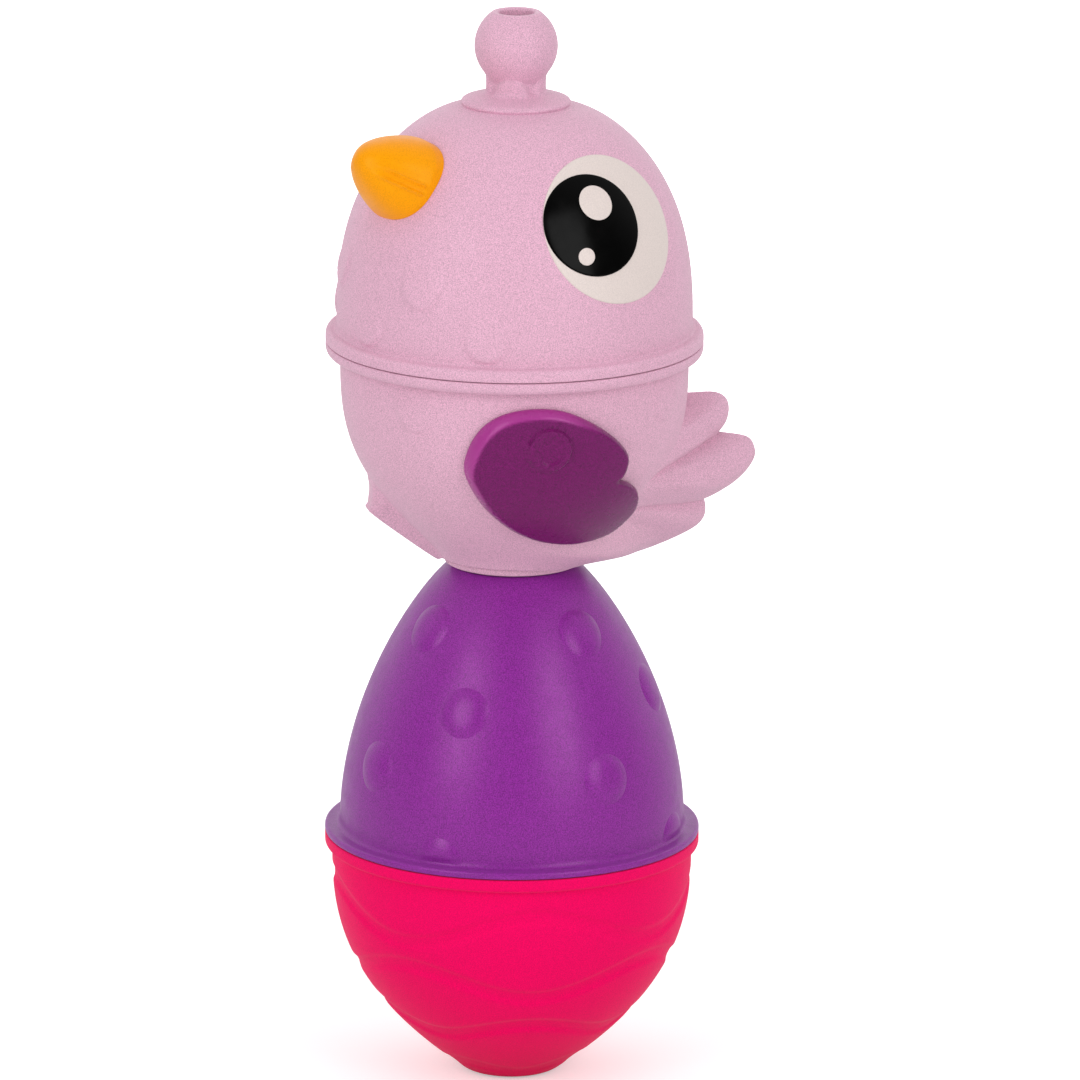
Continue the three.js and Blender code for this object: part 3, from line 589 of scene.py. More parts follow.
def rim_profile(shell, mouth, edge):
    """The seam's face, the rounded rim and the fillet up to the wall"""
    face = SEAM_GAP / 2
    step = RIM_RADIUS - shell.wall
    reach = min(shell.fillet, FILLET_SHARE * step)
    far = min(edge, step - reach - RIM_SPARE, shell.rim - face - SEAM_EDGE - RIM_SPARE)
    near_corner = bend((RIM_RADIUS - SEAM_EDGE, face), (RIM_RADIUS, face), (RIM_RADIUS, face + SEAM_EDGE))
    far_corner = bend((RIM_RADIUS, shell.rim - far), (RIM_RADIUS, shell.rim),
                      (RIM_RADIUS - far, shell.rim), 9)
    outside = join([(mouth, face)], near_corner, far_corner)
    fillet = bend((shell.wall + reach, shell.rim), (shell.wall, shell.rim),
                  (shell.wall, shell.rim + shell.fillet), 7)
    return outside, fillet


def inner_profile(shell, hole):
    """From the crown's hole, or its middle, down the inside to the mouth"""
    ceiling = shell.height - shell.thick
    wall = wall_profile(shell, INNER_ROWS)
    inner = wall - SHELL_WALL * normals(wall, 1)
    inner = inner[(inner[:, 0] < MOUTH_RADIUS) & (inner[:, 1] < ceiling)][::-1]
    top = [(max(hole, POLE_RING), ceiling), (inner[0, 0] - CROWN_EDGE, ceiling)]
    mouth = [(MOUTH_RADIUS, inner[-1, 1])]
    if shell.up > 0:
        return join(top, inner, mouth)
    groove, middle = RIDGE_HALF + FIT_GAP, SEAT_DEPTH / 2
    seat = [(MOUTH_RADIUS, SEAT_DEPTH), (SEAT_RADIUS, SEAT_DEPTH), (SEAT_RADIUS, middle + groove),
            (SEAT_RADIUS + RIDGE, middle + groove), (SEAT_RADIUS + RIDGE, middle - groove),
            (SEAT_RADIUS, middle - groove)]
    return join(top, inner, mouth, seat)


def crown_profile(shell, hole):
    """The flat of the crown, in to its hole"""
    across, down = CROWN_BEVEL
    return np.array([(hole + CROWN_EDGE, shell.height), (hole + across, shell.height - down),
                     (hole, shell.height - CROWN_EDGE)])


def stand_up(shell, profile):
    """A profile measured from the seam, at its height"""
    return np.stack([profile[:, 0], shell.seam + shell.up * profile[:, 1]], -1)


def normals(profile, up):
    """Unit (radius, height) normals that point out of a wall that runs away from its seam"""
    along = np.gradient(profile, axis=0)
    out = np.stack([along[:, 1], -along[:, 0]], -1) * up
    return out / np.linalg.norm(out, axis=1)[:, None]


def raise_wall(shell, rings, profile, span, azimuths, amount):
    """Moves a span of a shell's rings out from the wall by an amount"""
    out = normals(profile[span], shell.up)
    rings[span] += amount[..., None] * (out[:, None, :1] * radial(azimuths)[None])
    rings[span, :, 2] += amount * out[:, 1:2]


def wave_relief(sizes):
    """Rows of wavy grooves round the cup"""
    depth, width, swing = (v / MM for v in (sizes.wave_depth, sizes.wave_width, sizes.wave_swing))

    def relief(azimuth, height):
        total = 0
        for row in range(WAVE_ROWS):
            level = EGG_SEAM - WAVE_DROP - row * WAVE_PITCH
            phase = np.radians(WAVES_ROUND * (azimuth - WAVE_AZIMUTH) + 180 * row)
            away = (height - level - (swing - WAVE_FLATTENING * row) * np.cos(phase)) / (width / 2)
            share = LOWEST_WAVE if row == WAVE_ROWS - 1 else 1
            total = total - depth * share * np.exp(-away ** 4)
        return total
    return relief


def feather_relief(sizes, shell, feathers):
    """Low tongues, like feather tips, that stand out most at their lower end"""
    half, high = sizes.feather_width / MM / 2, sizes.feather_height / MM

    def relief(azimuth, height):
        total = 0
        for middle, tip in feathers:
            across = wall_radius(shell, abs(tip - shell.seam)) * np.radians(half_turn(azimuth - middle))
            above = height - tip - half
            away = np.hypot(across, np.minimum(above, 0)) - half
            fade = 1 - smoothstep(above, *FEATHER_FADE)
            total = total + high * fade * (1 - smoothstep(away, *FEATHER_EDGE))
        return total
    return relief


# Operators

class SNAPBEAD_OT_egg_cup(bpy.types.Operator):
    """Builds the lower half of the egg, with wavy grooves"""

    bl_idname = "snap_bead.egg_cup"
    bl_label = "Egg Cup"

    def execute(self, context):
        sizes = context.scene.bead_sizes
        azimuths = even(sizes.columns)
        outside, fillet = rim_profile(CUP, SEAT_RADIUS, sizes.rim_edge / MM)
        wall = wall_profile(CUP, CUP_ROWS)[1:-4]
        foot = bend(wall[-1], (CUP.crown, CUP.height), (CUP.crown - FOOT_ROUNDING, CUP.height), 7)[1:]
        waved = join(fillet, wall, foot)
        inner = inner_profile(CUP, 0)
        flat = np.array([(FOOT_MIDDLE, CUP.height)])
        profile = stand_up(CUP, join(inner, outside, waved, flat))
        rings = turned(profile, azimuths)
        first = len(inner) + len(outside)
        span = slice(first, first + len(waved))
        height = profile[span, 1:2]
        fade = smoothstep(height, *WAVE_FOOT) * (1 - smoothstep(height, *WAVE_TOP))
        raise_wall(CUP, rings, profile, span, azimuths, wave_relief(sizes)(azimuths[None], height) * fade)
        inside, underneath = (0, 0, CROWN_THICKNESS), (0, 0, 0)
        ring_piece("egg_cup", "egg_cup", "pink", rings, poles=(inside, underneath))
        return {"FINISHED"}


class SNAPBEAD_OT_egg_dome(bpy.types.Operator):
    """Builds the upper half of the egg, with round bumps"""

    bl_idname = "snap_bead.egg_dome"
    bl_label = "Egg Dome"

    def execute(self, context):
        sizes = context.scene.bead_sizes
        radius, high = sizes.bump_radius / MM, sizes.bump_height / MM
        azimuths = even(DOME_COLUMNS)
        hole = SHAFT_RADIUS + FIT_GAP
        outside, fillet = rim_profile(DOME, MOUTH_RADIUS, min(sizes.rim_edge / MM, DOME_RIM_EDGE))
        outer = join(fillet, wall_profile(DOME, DOME_ROWS)[1:])
        run = run_along(outer)
        along, azimuth = np.meshgrid(run, azimuths, indexing="ij")
        relief, crease = np.zeros_like(along), np.zeros(along.shape, bool)
        centres = [(rise, middle) for rise, row in zip(BUMP_RISES, BUMP_ROWS) for middle in row]
        for rise, middle in centres:
            level = np.interp(rise, outer[:, 1], run)

            def offsets():
                """Distances from the bump's middle: across, along and straight"""
                across = np.radians(half_turn(azimuth - middle)) * np.interp(along, run, outer[:, 0])
                return across, along - level, np.hypot(across, along - level)

            # Vertices beside the bump's edge are pulled onto it, so that it runs clean
            side = offsets()[2] - radius
            snap = np.zeros_like(crease)
            for axis in (0, 1):
                other = np.roll(side, -1, axis)
                crossing = side * other < 0
                if axis == 0:
                    crossing[-1] = False
                nearer = np.abs(side) <= np.abs(other)
                snap |= crossing & nearer
                snap |= np.roll(crossing & ~nearer, 1, axis)
            for _ in range(2):
                across, up, away = offsets()
                pull = np.where(snap, radius / np.maximum(away, 1e-6), 1)
                turn = np.degrees(across * (pull - 1) / np.interp(along, run, outer[:, 0]))
                azimuth = azimuth + turn
                along = np.clip(along + up * (pull - 1), 0, run[-1])
            cap = np.clip(1 - (offsets()[2] / radius) ** BUMP_ROUNDNESS, 0, None)
            relief = np.maximum(relief, np.where(snap, 0, high * cap))
            crease |= snap
        relief *= smoothstep(along, BUMP_START, run[len(fillet)])
        wall, out = ([np.interp(along, run, column) for column in curve.T]
                     for curve in (outer, normals(outer, DOME.up)))
        rings = (wall[0] + relief * out[0])[..., None] * radial(azimuth)
        rings[..., 2] = EGG_SEAM + wall[1] + relief * out[1]
        inner = join(crown_profile(DOME, hole), inner_profile(DOME, hole))
        rest = turned(stand_up(DOME, join(inner, outside)), azimuths)
        marks = join(np.zeros(rest.shape[:2], bool), crease)
        rings = join(rest, rings)
        ring_piece("egg_dome", "egg_dome", "purple", rings, crease=marks, sharp=18)
        return {"FINISHED"}


class SNAPBEAD_OT_studs(bpy.types.Operator):
    """Builds the hollow ball studs on the crowns of egg and head"""

    bl_idname = "snap_bead.studs"
    bl_label = "Ball Studs"

    def execute(self, context):
        flute = context.scene.bead_sizes.flute_depth / MM
        azimuths = even(RING_COLUMNS)
        studs = (("egg_stud", EGG_CROWN, "egg_dome", "purple", 0),
                 ("head_stud", BIRD_CROWN, "bird_head", "lilac", COLLAR_FILLET))
        for name, crown, body, slot, fillet in studs:
            barb = crown - CROWN_THICKNESS - FIT_GAP
            collar = crown + COLLAR_LIFT
            top = collar + COLLAR_HEIGHT
            ball = crown + FIT_GAP + COLLAR_HEIGHT + BALL_RISE
            waist, disc_edge, disc_top = ((r, collar + z) for r, z in (WAIST, DISC_EDGE, DISC_TOP))
            start, end = -math.acos(NECK_RADIUS / BALL_RADIUS), math.acos(BALL_FLAT / BALL_RADIUS)
            junction = (NECK_RADIUS, ball + BALL_RADIUS * math.sin(start))
            sweep = np.linspace(start + BALL_BLEND, end, 30)[:, None]
            globe = BALL_RADIUS * np.concatenate([np.cos(sweep), np.sin(sweep)], 1) + [0, ball]
            tip = globe[-1, 1]
            barb_radius = SHAFT_RADIUS + BARB_STEP
            foot = rounded([(BORE_RADIUS, barb - BARB_HEIGHT, 0.3), (barb_radius, barb - BARB_HEIGHT, 0.8),
                            (barb_radius, barb, 0.3), (SHAFT_RADIUS, barb, 0), (SHAFT_RADIUS, collar, 0),
                            (COLLAR_RADIUS + FILLET_SEAT * fillet, collar, 0)], closed=False)
            valley = bend((COLLAR_RADIUS + fillet, collar - FILLET_DIP * fillet),
                          (COLLAR_RADIUS + FILLET_BEND * fillet, collar + WAIST[1] / 2), waist)
            disc = rounded([(*waist, 0), (*disc_edge, 0.3), (*disc_top, 0.5), (NECK_FOOT, top, 0)],
                           closed=False)
            neck = bend((NECK_FOOT, top), (NECK_RADIUS, top + 0.2), (NECK_RADIUS, top + NECK_RISE), 7)
            under = (NECK_RADIUS, junction[1] - UNDER_BALL)
            column = np.linspace(neck[-1], under, 14)[1:-1]
            underside = bend(under, junction, globe[0], 8)[:-1]
            mouth = rounded([(BALL_FLAT, tip, 0), (BORE_RADIUS, tip, 0.5), (BORE_RADIUS, barb, 0)],
                            closed=False)
            parts = [foot, valley[:-1], disc[:-1], neck, column, underside, globe, mouth[1:]]
            rings = turned(join(*parts), azimuths)
            rise = rings[..., 2] - top
            outside = np.hypot(rings[..., 0], rings[..., 1]) > BORE_RADIUS + BORE_CLEAR
            on_neck = smoothstep(rise, *FLUTE_FOOT) * (1 - smoothstep(rise, *FLUTE_TOP)) * outside
            from_rib = np.abs((azimuths - HEAD_TURN) % 90 - 45)[None]
            arch = FLUTE_HALF * np.sqrt(1 - np.clip((rise - FLUTE_RISE) / FLUTE_HEIGHT, 0, 1) ** 2)
            recess = smoothstep(from_rib - arch, *FLUTE_EDGE)
            rings[..., :2] *= (1 - flute * recess * on_neck / NECK_RADIUS)[..., None]
            ring_piece(name, body, slot, rings)
        return {"FINISHED"}


class SNAPBEAD_OT_socket(bpy.types.Operator):
    """Builds the socket in the bird's underside"""

    bl_idname = "snap_bead.socket"
    bl_label = "Socket"

    def execute(self, context):
        recess = COLLAR_RADIUS + FIT_GAP
        ledge = SOCKET_BASE + COLLAR_HEIGHT + FIT_GAP
        flange = SOCKET_BASE + FLANGE_HEIGHT
        barb = BODY_CROWN + CROWN_THICKNESS + FIT_GAP
        barb_radius = SOCKET_NECK + FIT_GAP + RING_WALL
        ball_half = math.sqrt(BALL_RADIUS ** 2 - BALL_FLAT ** 2)
        tube = EGG_CROWN + FIT_GAP + COLLAR_HEIGHT + BALL_RISE + ball_half + FIT_GAP
        profile = rounded([
            (recess, SOCKET_BASE, 0.3), (FLANGE_RADIUS, SOCKET_BASE, 0.7), (FLANGE_RADIUS, flange, 0.7),
            (SOCKET_NECK, flange, 0.1), (SOCKET_NECK, barb, 0), (barb_radius, barb, 0.3),
            (barb_radius, barb + BARB_HEIGHT / 2, 0.3), (SOCKET_NECK, barb + BARB_HEIGHT, 0.3),
            (SOCKET_NECK, tube, 0.4), (SOCKET_BORE, tube, 0.4), (SOCKET_BORE, ledge, 0.4),
            (recess, ledge, 0.8)])
        ring_piece("bird_socket", "bird_socket", "lilac", turned(profile, even(SMALL_COLUMNS)))
        return {"FINISHED"}


class SNAPBEAD_OT_couplings(bpy.types.Operator):
    """Builds the rings that turn in the lower halves"""

    bl_idname = "snap_bead.couplings"
    bl_label = "Coupling Rings"

    def execute(self, context):
        spigot = MOUTH_RADIUS - FIT_GAP
        inside = spigot - RING_WALL
        ring = SEAT_RADIUS - FIT_GAP
        for name, seam in (("egg_coupling", EGG_SEAM), ("bird_coupling", BIRD_SEAM)):
            foot = seam - SEAT_DEPTH + FIT_GAP
            ridge = seam - SEAT_DEPTH / 2
            shoulder = seam - FIT_GAP / 2
            top = seam + SPIGOT_HEIGHT
            profile = rounded([
                (inside, foot, 0.3), (ring, foot, 0.3), (ring, ridge - RIDGE_HALF, 0.1),
                (ring + RIDGE, ridge - RIDGE_HALF, 0.2), (ring + RIDGE, ridge + RIDGE_HALF, 0.2),
                (ring, ridge + RIDGE_HALF, 0.1), (ring, shoulder, 0.2), (spigot, shoulder, 0.1),
                (spigot, top, 0.6), (inside, top, 0.4)])
            ring_piece(name, name, "inner_white", turned(profile, even(RING_COLUMNS)))
        return {"FINISHED"}


def flare_curve(points):
    """Angle from straight down and distance of (radius, height) points about the flare's centre"""
    drop = FLARE_CENTRE - points[:, 1]
    angle, distance = np.arctan2(points[:, 0], drop), np.hypot(points[:, 0], drop)
    order = np.argsort(angle)
    return angle[order], distance[order]


def edge_points(edge):
    """An edge of the tail or foot as (radius, height)"""
    return curve_through(edge, EDGE_STEPS) + [BODY.wall, SOCKET_BASE]


class SNAPBEAD_OT_body(bpy.types.Operator):
    """Builds the bird's body, with the tail and foot drawn out of its bowl"""

    bl_idname = "snap_bead.body"
    bl_label = "Bird Body"

    def execute(self, context):
        sizes = context.scene.bead_sizes
        edge_radius = sizes.tail_edge / MM
        clear = FLANGE_RADIUS + FIT_GAP
        wall = stand_up(BODY, wall_profile(BODY, BOWL_ROWS))
        skirt = bend(wall[-4], (BODY.crown, BODY_BASE), (BODY.crown - SKIRT_TURN, BODY_BASE))
        bowl = flare_curve(join(wall[:-4], skirt, [(clear, BODY_BASE)]))
        tail = flare_curve(np.concatenate([edge_points(feather) for feather in TAIL_FEATHERS]))
        foot = flare_curve(edge_points(FOOT_EDGE))

        # Rows lie closer where the tail's edge runs away from the centre
        sample = np.linspace(bowl[0].max(), bowl[0].min(), FINE_ROWS)
        reach = np.interp(sample, *tail, left=0, right=0)
        steep = np.minimum(np.abs(np.diff(reach)), STEEPEST)
        measure = running(ROW_CROWDING * np.abs(np.diff(sample)) + steep)
        angle = np.interp(np.linspace(0, measure[-1], BODY_ROWS), measure, sample)[:, None]

        # Columns lie closer round the tail's edge and the foot
        turn = np.linspace(0, 360, FINE_COLUMNS + 1)
        near = 1
        for (closer, width), middle in ((TAIL_CROWDING, 180), (FOOT_CROWDING, 0)):
            near = near + closer * bell(half_turn(turn - middle) / width)
        measure = running((near[1:] + near[:-1]) / 2)
        azimuths = np.interp(np.linspace(0, measure[-1], BODY_COLUMNS + 1)[:-1], measure, turn)

        degrees = np.degrees(angle)
        off_tail = np.abs(180 - azimuths)[None]
        from_tail = np.radians(off_tail)
        from_foot = np.radians(np.minimum(np.abs(half_turn(azimuths)), 90))[None]
        plain = np.interp(angle, *bowl)
        swept = angle + np.interp(degrees, *TAIL_SWEEP) * from_tail
        tail_reach = np.maximum(np.interp(swept, *tail, left=0, right=0) - plain, 0)
        tip = edge_radius / (plain + tail_reach)
        widest = np.radians(np.interp(degrees, *TAIL_WIDEST))
        flank = np.minimum(tip + np.arccos(plain / (plain + tail_reach)), widest)
        eased = np.hypot(from_tail, tip) - tip
        on_tail = np.clip(1 - eased / (np.hypot(flank, tip) - tip), 0, 1)
        low = 1 - smoothstep(degrees, *SKIRT_ANGLES)
        skirt_share = np.clip(1 - off_tail / SKIRT_SPREAD, 0, 1) ** SKIRT_FALL
        feather_share = on_tail ** np.interp(degrees, *TAIL_FALL)
        tail_share = feather_share + low * np.maximum(skirt_share - feather_share, 0)
        foot_reach = np.interp(angle, *foot, left=0, right=0) - plain
        on_foot = 1 - smoothstep(plain * np.sin(angle) * np.sin(from_foot), *FOOT_SIDES)
        drawn = np.maximum(np.maximum(tail_reach * tail_share, foot_reach * on_foot), 0)
        beside = smoothstep(off_tail, *CREASE_SIDES) * smoothstep(on_tail, *CREASE_FADE)
        for crease, depth, half in TAIL_CREASES:
            drawn = drawn - depth * beside * bell(plain * (swept - math.radians(crease)) / half)
        height = FLARE_CENTRE - plain * np.cos(angle)
        feathers = feather_relief(sizes, BODY, FEATHERS_BODY)(azimuths[None], height)
        distance = plain + drawn + feathers * (1 - smoothstep(drawn, *FEATHER_CLEAR))
        flare = (distance * np.sin(angle))[..., None] * radial(azimuths)[None]
        flare[..., 2] = FLARE_CENTRE - distance * np.cos(angle)

        outside, fillet = rim_profile(BODY, SEAT_RADIUS, sizes.rim_edge / MM)
        rim = stand_up(BODY, join(outside, fillet[:-1]))
        hole = SOCKET_NECK + FIT_GAP
        under = np.array([(clear, BODY_CROWN), (hole + CROWN_EDGE, BODY_CROWN),
                          (hole, BODY_CROWN + CROWN_EDGE)])
        inner = stand_up(BODY, inner_profile(BODY, hole))
        rings = [turned(rim, azimuths), flare, turned(join(under, inner), azimuths)]
        ring_piece("body_shell", "bird_body", "lilac", join(*rings))
        return {"FINISHED"}


def bowl_point(across, height, lift, side):
    """Points that stand off the body's bowl by lift, given as the wings' outlines are"""
    distance = BIRD_SEAM - height
    step = 0.05
    radius = wall_radius(BODY, distance)
    slope = (wall_radius(BODY, distance - step) - wall_radius(BODY, distance + step)) / (2 * step)
    out_axis = radial(WING_AZIMUTH)[:2]
    across_axis = np.array([-out_axis[1], out_axis[0]])
    depth = np.sqrt((radius + lift * np.sqrt(1 + slope ** 2)) ** 2 - across ** 2)
    points = np.column_stack([depth[:, None] * out_axis + across[:, None] * across_axis, height])
    points[:, 0] *= side
    return points


class SNAPBEAD_OT_wings(bpy.types.Operator):
    """Builds the two wings, which hug the body"""

    bl_idname = "snap_bead.wings"
    bl_label = "Wings"

    def execute(self, context):
        sizes = context.scene.bead_sizes
        thick, bevel = sizes.wing_thickness / MM, sizes.wing_bevel / MM
        boss, boss_height = sizes.boss_radius / MM, sizes.boss_height / MM
        outline = curve_through(WING_OUTLINE, OUTLINE_STEPS)[:-1]
        free = smoothstep(np.linalg.norm(outline - outline[0], axis=1), *NOTCH_KEPT)[:, None]
        for _ in range(WING_SMOOTHING):
            between = (np.roll(outline, 1, 0) + np.roll(outline, -1, 0)) / 2
            outline = outline + free / 2 * (between - outline)
        low, high = outline.min(0), outline.max(0)
        lattice = np.array([(x + WING_PITCH / 2 * (row % 2), y)
                            for row, y in enumerate(np.arange(low[1], high[1], ROW_PITCH))
                            for x in np.arange(low[0], high[0], WING_PITCH)])
        ahead = np.roll(outline, -1, 0)

        def edge_distance(points):
            """How far points lie from the outline"""
            span = ahead - outline
            share = np.einsum("pij,ij->pi", points[:, None] - outline[None], span) / (span ** 2).sum(1)
            nearest = outline + np.clip(share, 0, 1)[..., None] * span
            return np.linalg.norm(points[:, None] - nearest, axis=2).min(1)

        spokes = (outline[None] - lattice[:, None]) @ np.array([1, 1j])
        winding = np.angle(np.roll(spokes, -1, 1) / spokes).sum(1)
        lattice = lattice[np.abs(winding) > 1]
        lattice = lattice[edge_distance(lattice) > EDGE_CLEAR]
        circles = boss + np.array(BOSS_CIRCLES)
        from_boss = np.linalg.norm(lattice - WING_BOSS, axis=1)
        lattice = lattice[np.abs(from_boss[:, None] - circles).min(1) > CIRCLE_CLEAR]
        turn = np.radians(even(BOSS_COLUMNS))
        ring = np.column_stack([np.cos(turn), np.sin(turn)])
        flat = np.concatenate([outline, lattice] + [ring * radius + WING_BOSS for radius in circles])
        count = len(outline)
        rim = [(i, (i + 1) % count) for i in range(count)]
        cut = geometry.delaunay_2d_cdt([Vector(p) for p in flat], rim, [], 1, SAME_POINT)
        flat = np.array([tuple(p) for p in cut[0]])
        faces = np.array(cut[2])
        inward = edge_distance(flat)
        from_boss = np.linalg.norm(flat - WING_BOSS, axis=1)
        nearest = np.argmin(np.linalg.norm(flat[:, None] - outline[None], axis=2), 1)
        along = np.roll(outline, -1, 0) - np.roll(outline, 1, 0)
        along = (along / np.linalg.norm(along, axis=1)[:, None])[nearest]
        upper = smoothstep(along @ UPPER_EDGE, *UPPER_FADE)
        front = 1 - smoothstep(flat[:, 0], *FRONT_FADE)
        slope = bevel * (BEVEL_LOW + BEVEL_GAIN * upper * front)
        ease = np.clip(inward / slope, 0, 1)
        face = FIT_GAP + thick * (EDGE_SHARE + (1 - EDGE_SHARE) * np.sin(ease * math.pi / 2))
        outer_top, outer_foot, dish_top, dish_foot = circles[[1, 0, 2, 3]]
        face = face + boss_height * (1 - smoothstep(from_boss, outer_top, outer_foot))
        face = face - BOSS_DISH * boss_height * (1 - smoothstep(from_boss, dish_foot, dish_top))
        back = np.where(from_boss < BOSS_PEG, PEG_GAP, FIT_GAP)
        # Painted light: edges facing up and to the front get the brighter wall colour, as if lit by the
        # lamp
        on_edge = 1 - smoothstep(inward / slope, *GLOW_EDGE)
        glow = on_edge * smoothstep(along @ UPPER_FRONT, *GLOW_FADE) * front
        rim_ids = np.flatnonzero(inward < 10 * SAME_POINT)
        order = rim_ids[np.argsort(nearest[rim_ids])]
        total = len(flat)
        wall = np.stack([order, np.roll(order, -1), np.roll(order, -1) + total, order + total], -1)
        triangles = join(faces, faces[:, ::-1] + total)
        for label, side in SIDES:
            layers = [bowl_point(flat[:, 0], flat[:, 1], lift, side) for lift in (face, back)]
            new_piece(f"wing_{label}", "bird_body", "plum", join(*layers), wall, triangles,
                      sharp=50, glow=np.tile(glow, 2))
        return {"FINISHED"}


class SNAPBEAD_OT_head(bpy.types.Operator):
    """Builds the bird's head"""

    bl_idname = "snap_bead.head"
    bl_label = "Bird Head"

    def execute(self, context):
        sizes = context.scene.bead_sizes
        azimuths = even(sizes.columns)
        hole = SHAFT_RADIUS + FIT_GAP
        outside, fillet = rim_profile(HEAD, MOUTH_RADIUS, sizes.rim_edge / MM)
        wall = wall_profile(HEAD, HEAD_ROWS)[1:]
        parts = [outside, fillet, wall, crown_profile(HEAD, hole), inner_profile(HEAD, hole)]
        profile = stand_up(HEAD, join(*parts))
        rings = turned(profile, azimuths)
        span = slice(len(outside), len(outside) + len(fillet) + len(wall))
        weight = join(np.linspace(0, 1, len(fillet)), np.ones(len(wall)))[:, None]
        feathers = [(middle + HEAD_TURN, tip) for middle, tip in FEATHERS_HEAD]
        relief = feather_relief(sizes, HEAD, feathers)(azimuths[None], profile[span, 1:2])
        raise_wall(HEAD, rings, profile, span, azimuths, relief * weight)
        ring_piece("head_shell", "bird_head", "lilac", rings)
        return {"FINISHED"}


def stand_out(points, rise, tilt, azimuth):
    """Points of (across, up, out) set on the head at a height above the seam"""
    lean = math.radians(90 - tilt)
    across, up, out = points[:, 0], points[:, 1], points[:, 2]
    y = up * math.cos(lean) - out * math.sin(lean) - wall_radius(HEAD, rise)
    z = up * math.sin(lean) + out * math.cos(lean) + BIRD_SEAM + rise
    turn = math.radians(azimuth + HEAD_TURN)
    return np.column_stack([across * math.cos(turn) - y * math.sin(turn),
                            across * math.sin(turn) + y * math.cos(turn), z])


def onto_head(across, up, rise, tilt, azimuth, lift):
    """How far out points lie on the head, along a direction that stands square to it at one place"""
    low, high = (np.full(len(across), limit) for limit in HEAD_REACH)
    for _ in range(HALVINGS):
        middle = (low + high) / 2
        points = stand_out(np.column_stack([across, up, middle]), rise, tilt, azimuth)
        radius = np.hypot(points[:, 0], points[:, 1])
        beyond = radius > wall_radius(HEAD, points[:, 2] - BIRD_SEAM)
        low, high = np.where(beyond, low, middle), np.where(beyond, middle, high)
    return (low + high) / 2 + lift


class SNAPBEAD_OT_beak(bpy.types.Operator):
    """Builds the beak, with two ridges along each side for the mouth"""

    bl_idname = "snap_bead.beak"
    bl_label = "Beak"

    def execute(self, context):
        ridge = context.scene.bead_sizes.mouth_ridge / MM
        share = np.sin(np.linspace(0, math.pi / 2, BEAK_ROWS))[:-1]
        radii = BEAK_RADIUS * (1 - share ** BEAK_TAPER) ** (1 / BEAK_FULLNESS)
        turn = np.radians(even(BEAK_COLUMNS))
        box = [np.sign(v) * np.abs(v) ** (2 / BEAK_SQUARENESS) for v in (np.cos(turn), np.sin(turn))]
        base = BEAK_RADIUS * np.column_stack([BEAK_WIDTH * box[0], box[1]])
        place = (BEAK_RISE, BEAK_TILT, 0)
        rings = [np.column_stack([base * part, onto_head(*(base * part).T, *place, BEAK_LIFT)])
                 for part in BEAK_SEAT]
        seat = onto_head(*base.T, *place, BEAK_LIFT)
        rings += [np.column_stack([base, seat * (1 - part)]) for part in np.linspace(0, 1, 8)[:-1]]
        rings += [np.column_stack([base / BEAK_RADIUS * radius, np.full(len(turn), part * BEAK_LENGTH)])
                  for part, radius in zip(share, radii)]
        rings = np.array(rings)
        x, y, out = rings[..., 0], rings[..., 1], rings[..., 2]
        line = sum(bell((y - level) / MOUTH_HALF) for level in MOUTH_LINES)
        line = line * smoothstep(out, *MOUTH_START) * (1 - smoothstep(out, *MOUTH_END))
        rings[..., 0] += np.sign(x) * ridge * line * smoothstep(np.abs(x), *MOUTH_SIDES)
        placed = stand_out(rings.reshape(-1, 3), *place).reshape(rings.shape)
        middle = onto_head(np.zeros(1), np.zeros(1), *place, BEAK_LIFT)[0]
        poles = stand_out(np.array([(0, 0, middle), (0, 0, BEAK_LENGTH)]), *place)
        ring_piece("beak", "bird_head", "orange", placed, poles=poles.tolist(), sharp=50)
        return {"FINISHED"}


class SNAPBEAD_OT_eyes(bpy.types.Operator):
    """Builds the eyes: a white, a pupil and two glints on each side, in thin layers"""

    bl_idname = "snap_bead.eyes"
    bl_label = "Eyes"

    def execute(self, context):
        sizes = context.scene.bead_sizes
        layers = (
            ("eye_white", "eye_white", 0, 0, sizes.eye_radius / MM, *WHITE_LAYER),
            ("pupil", "black", *PUPIL, sizes.pupil_radius / MM, *PUPIL_LAYER),
            ("large_glint", "eye_white", *LARGE_GLINT, *GLINT_LAYER),
            ("small_glint", "eye_white", *SMALL_GLINT, *GLINT_LAYER),
        )
        turn = np.radians(even(SMALL_COLUMNS))
        near_edge, on_top = INLAY_EDGE
        shares = np.linspace(*INLAY_RINGS)
        for label, side in SIDES:
            place = (EYE_RISE, EYE_TILT, side * EYE_AZIMUTH)
            for name, slot, across, up, radius, low, high in layers:
                thick = high - low
                edge = [(radius, low), (radius, low + 0.3 * thick),
                        (radius - near_edge, high - 0.1 * thick), (radius - on_top, high)]
                profile = ([(radius * share, low) for share in shares[::-1]] + edge
                           + [(radius * share, high) for share in shares if radius * share < radius - 0.3])
                rings = []
                for ring, lift in profile + [(0, low), (0, high)]:
                    x = side * across + ring * np.cos(turn)
                    y = up + ring * np.sin(turn)
                    rings.append(stand_out(np.column_stack([x, y, onto_head(x, y, *place, lift)]), *place))
                poles = [rings[-2][0].tolist(), rings[-1][0].tolist()]
                ring_piece(f"{name}_{label}", "bird_head", slot, np.array(rings[:-2]), poles,
                           form="inlay", sharp=60)
        return {"FINISHED"}


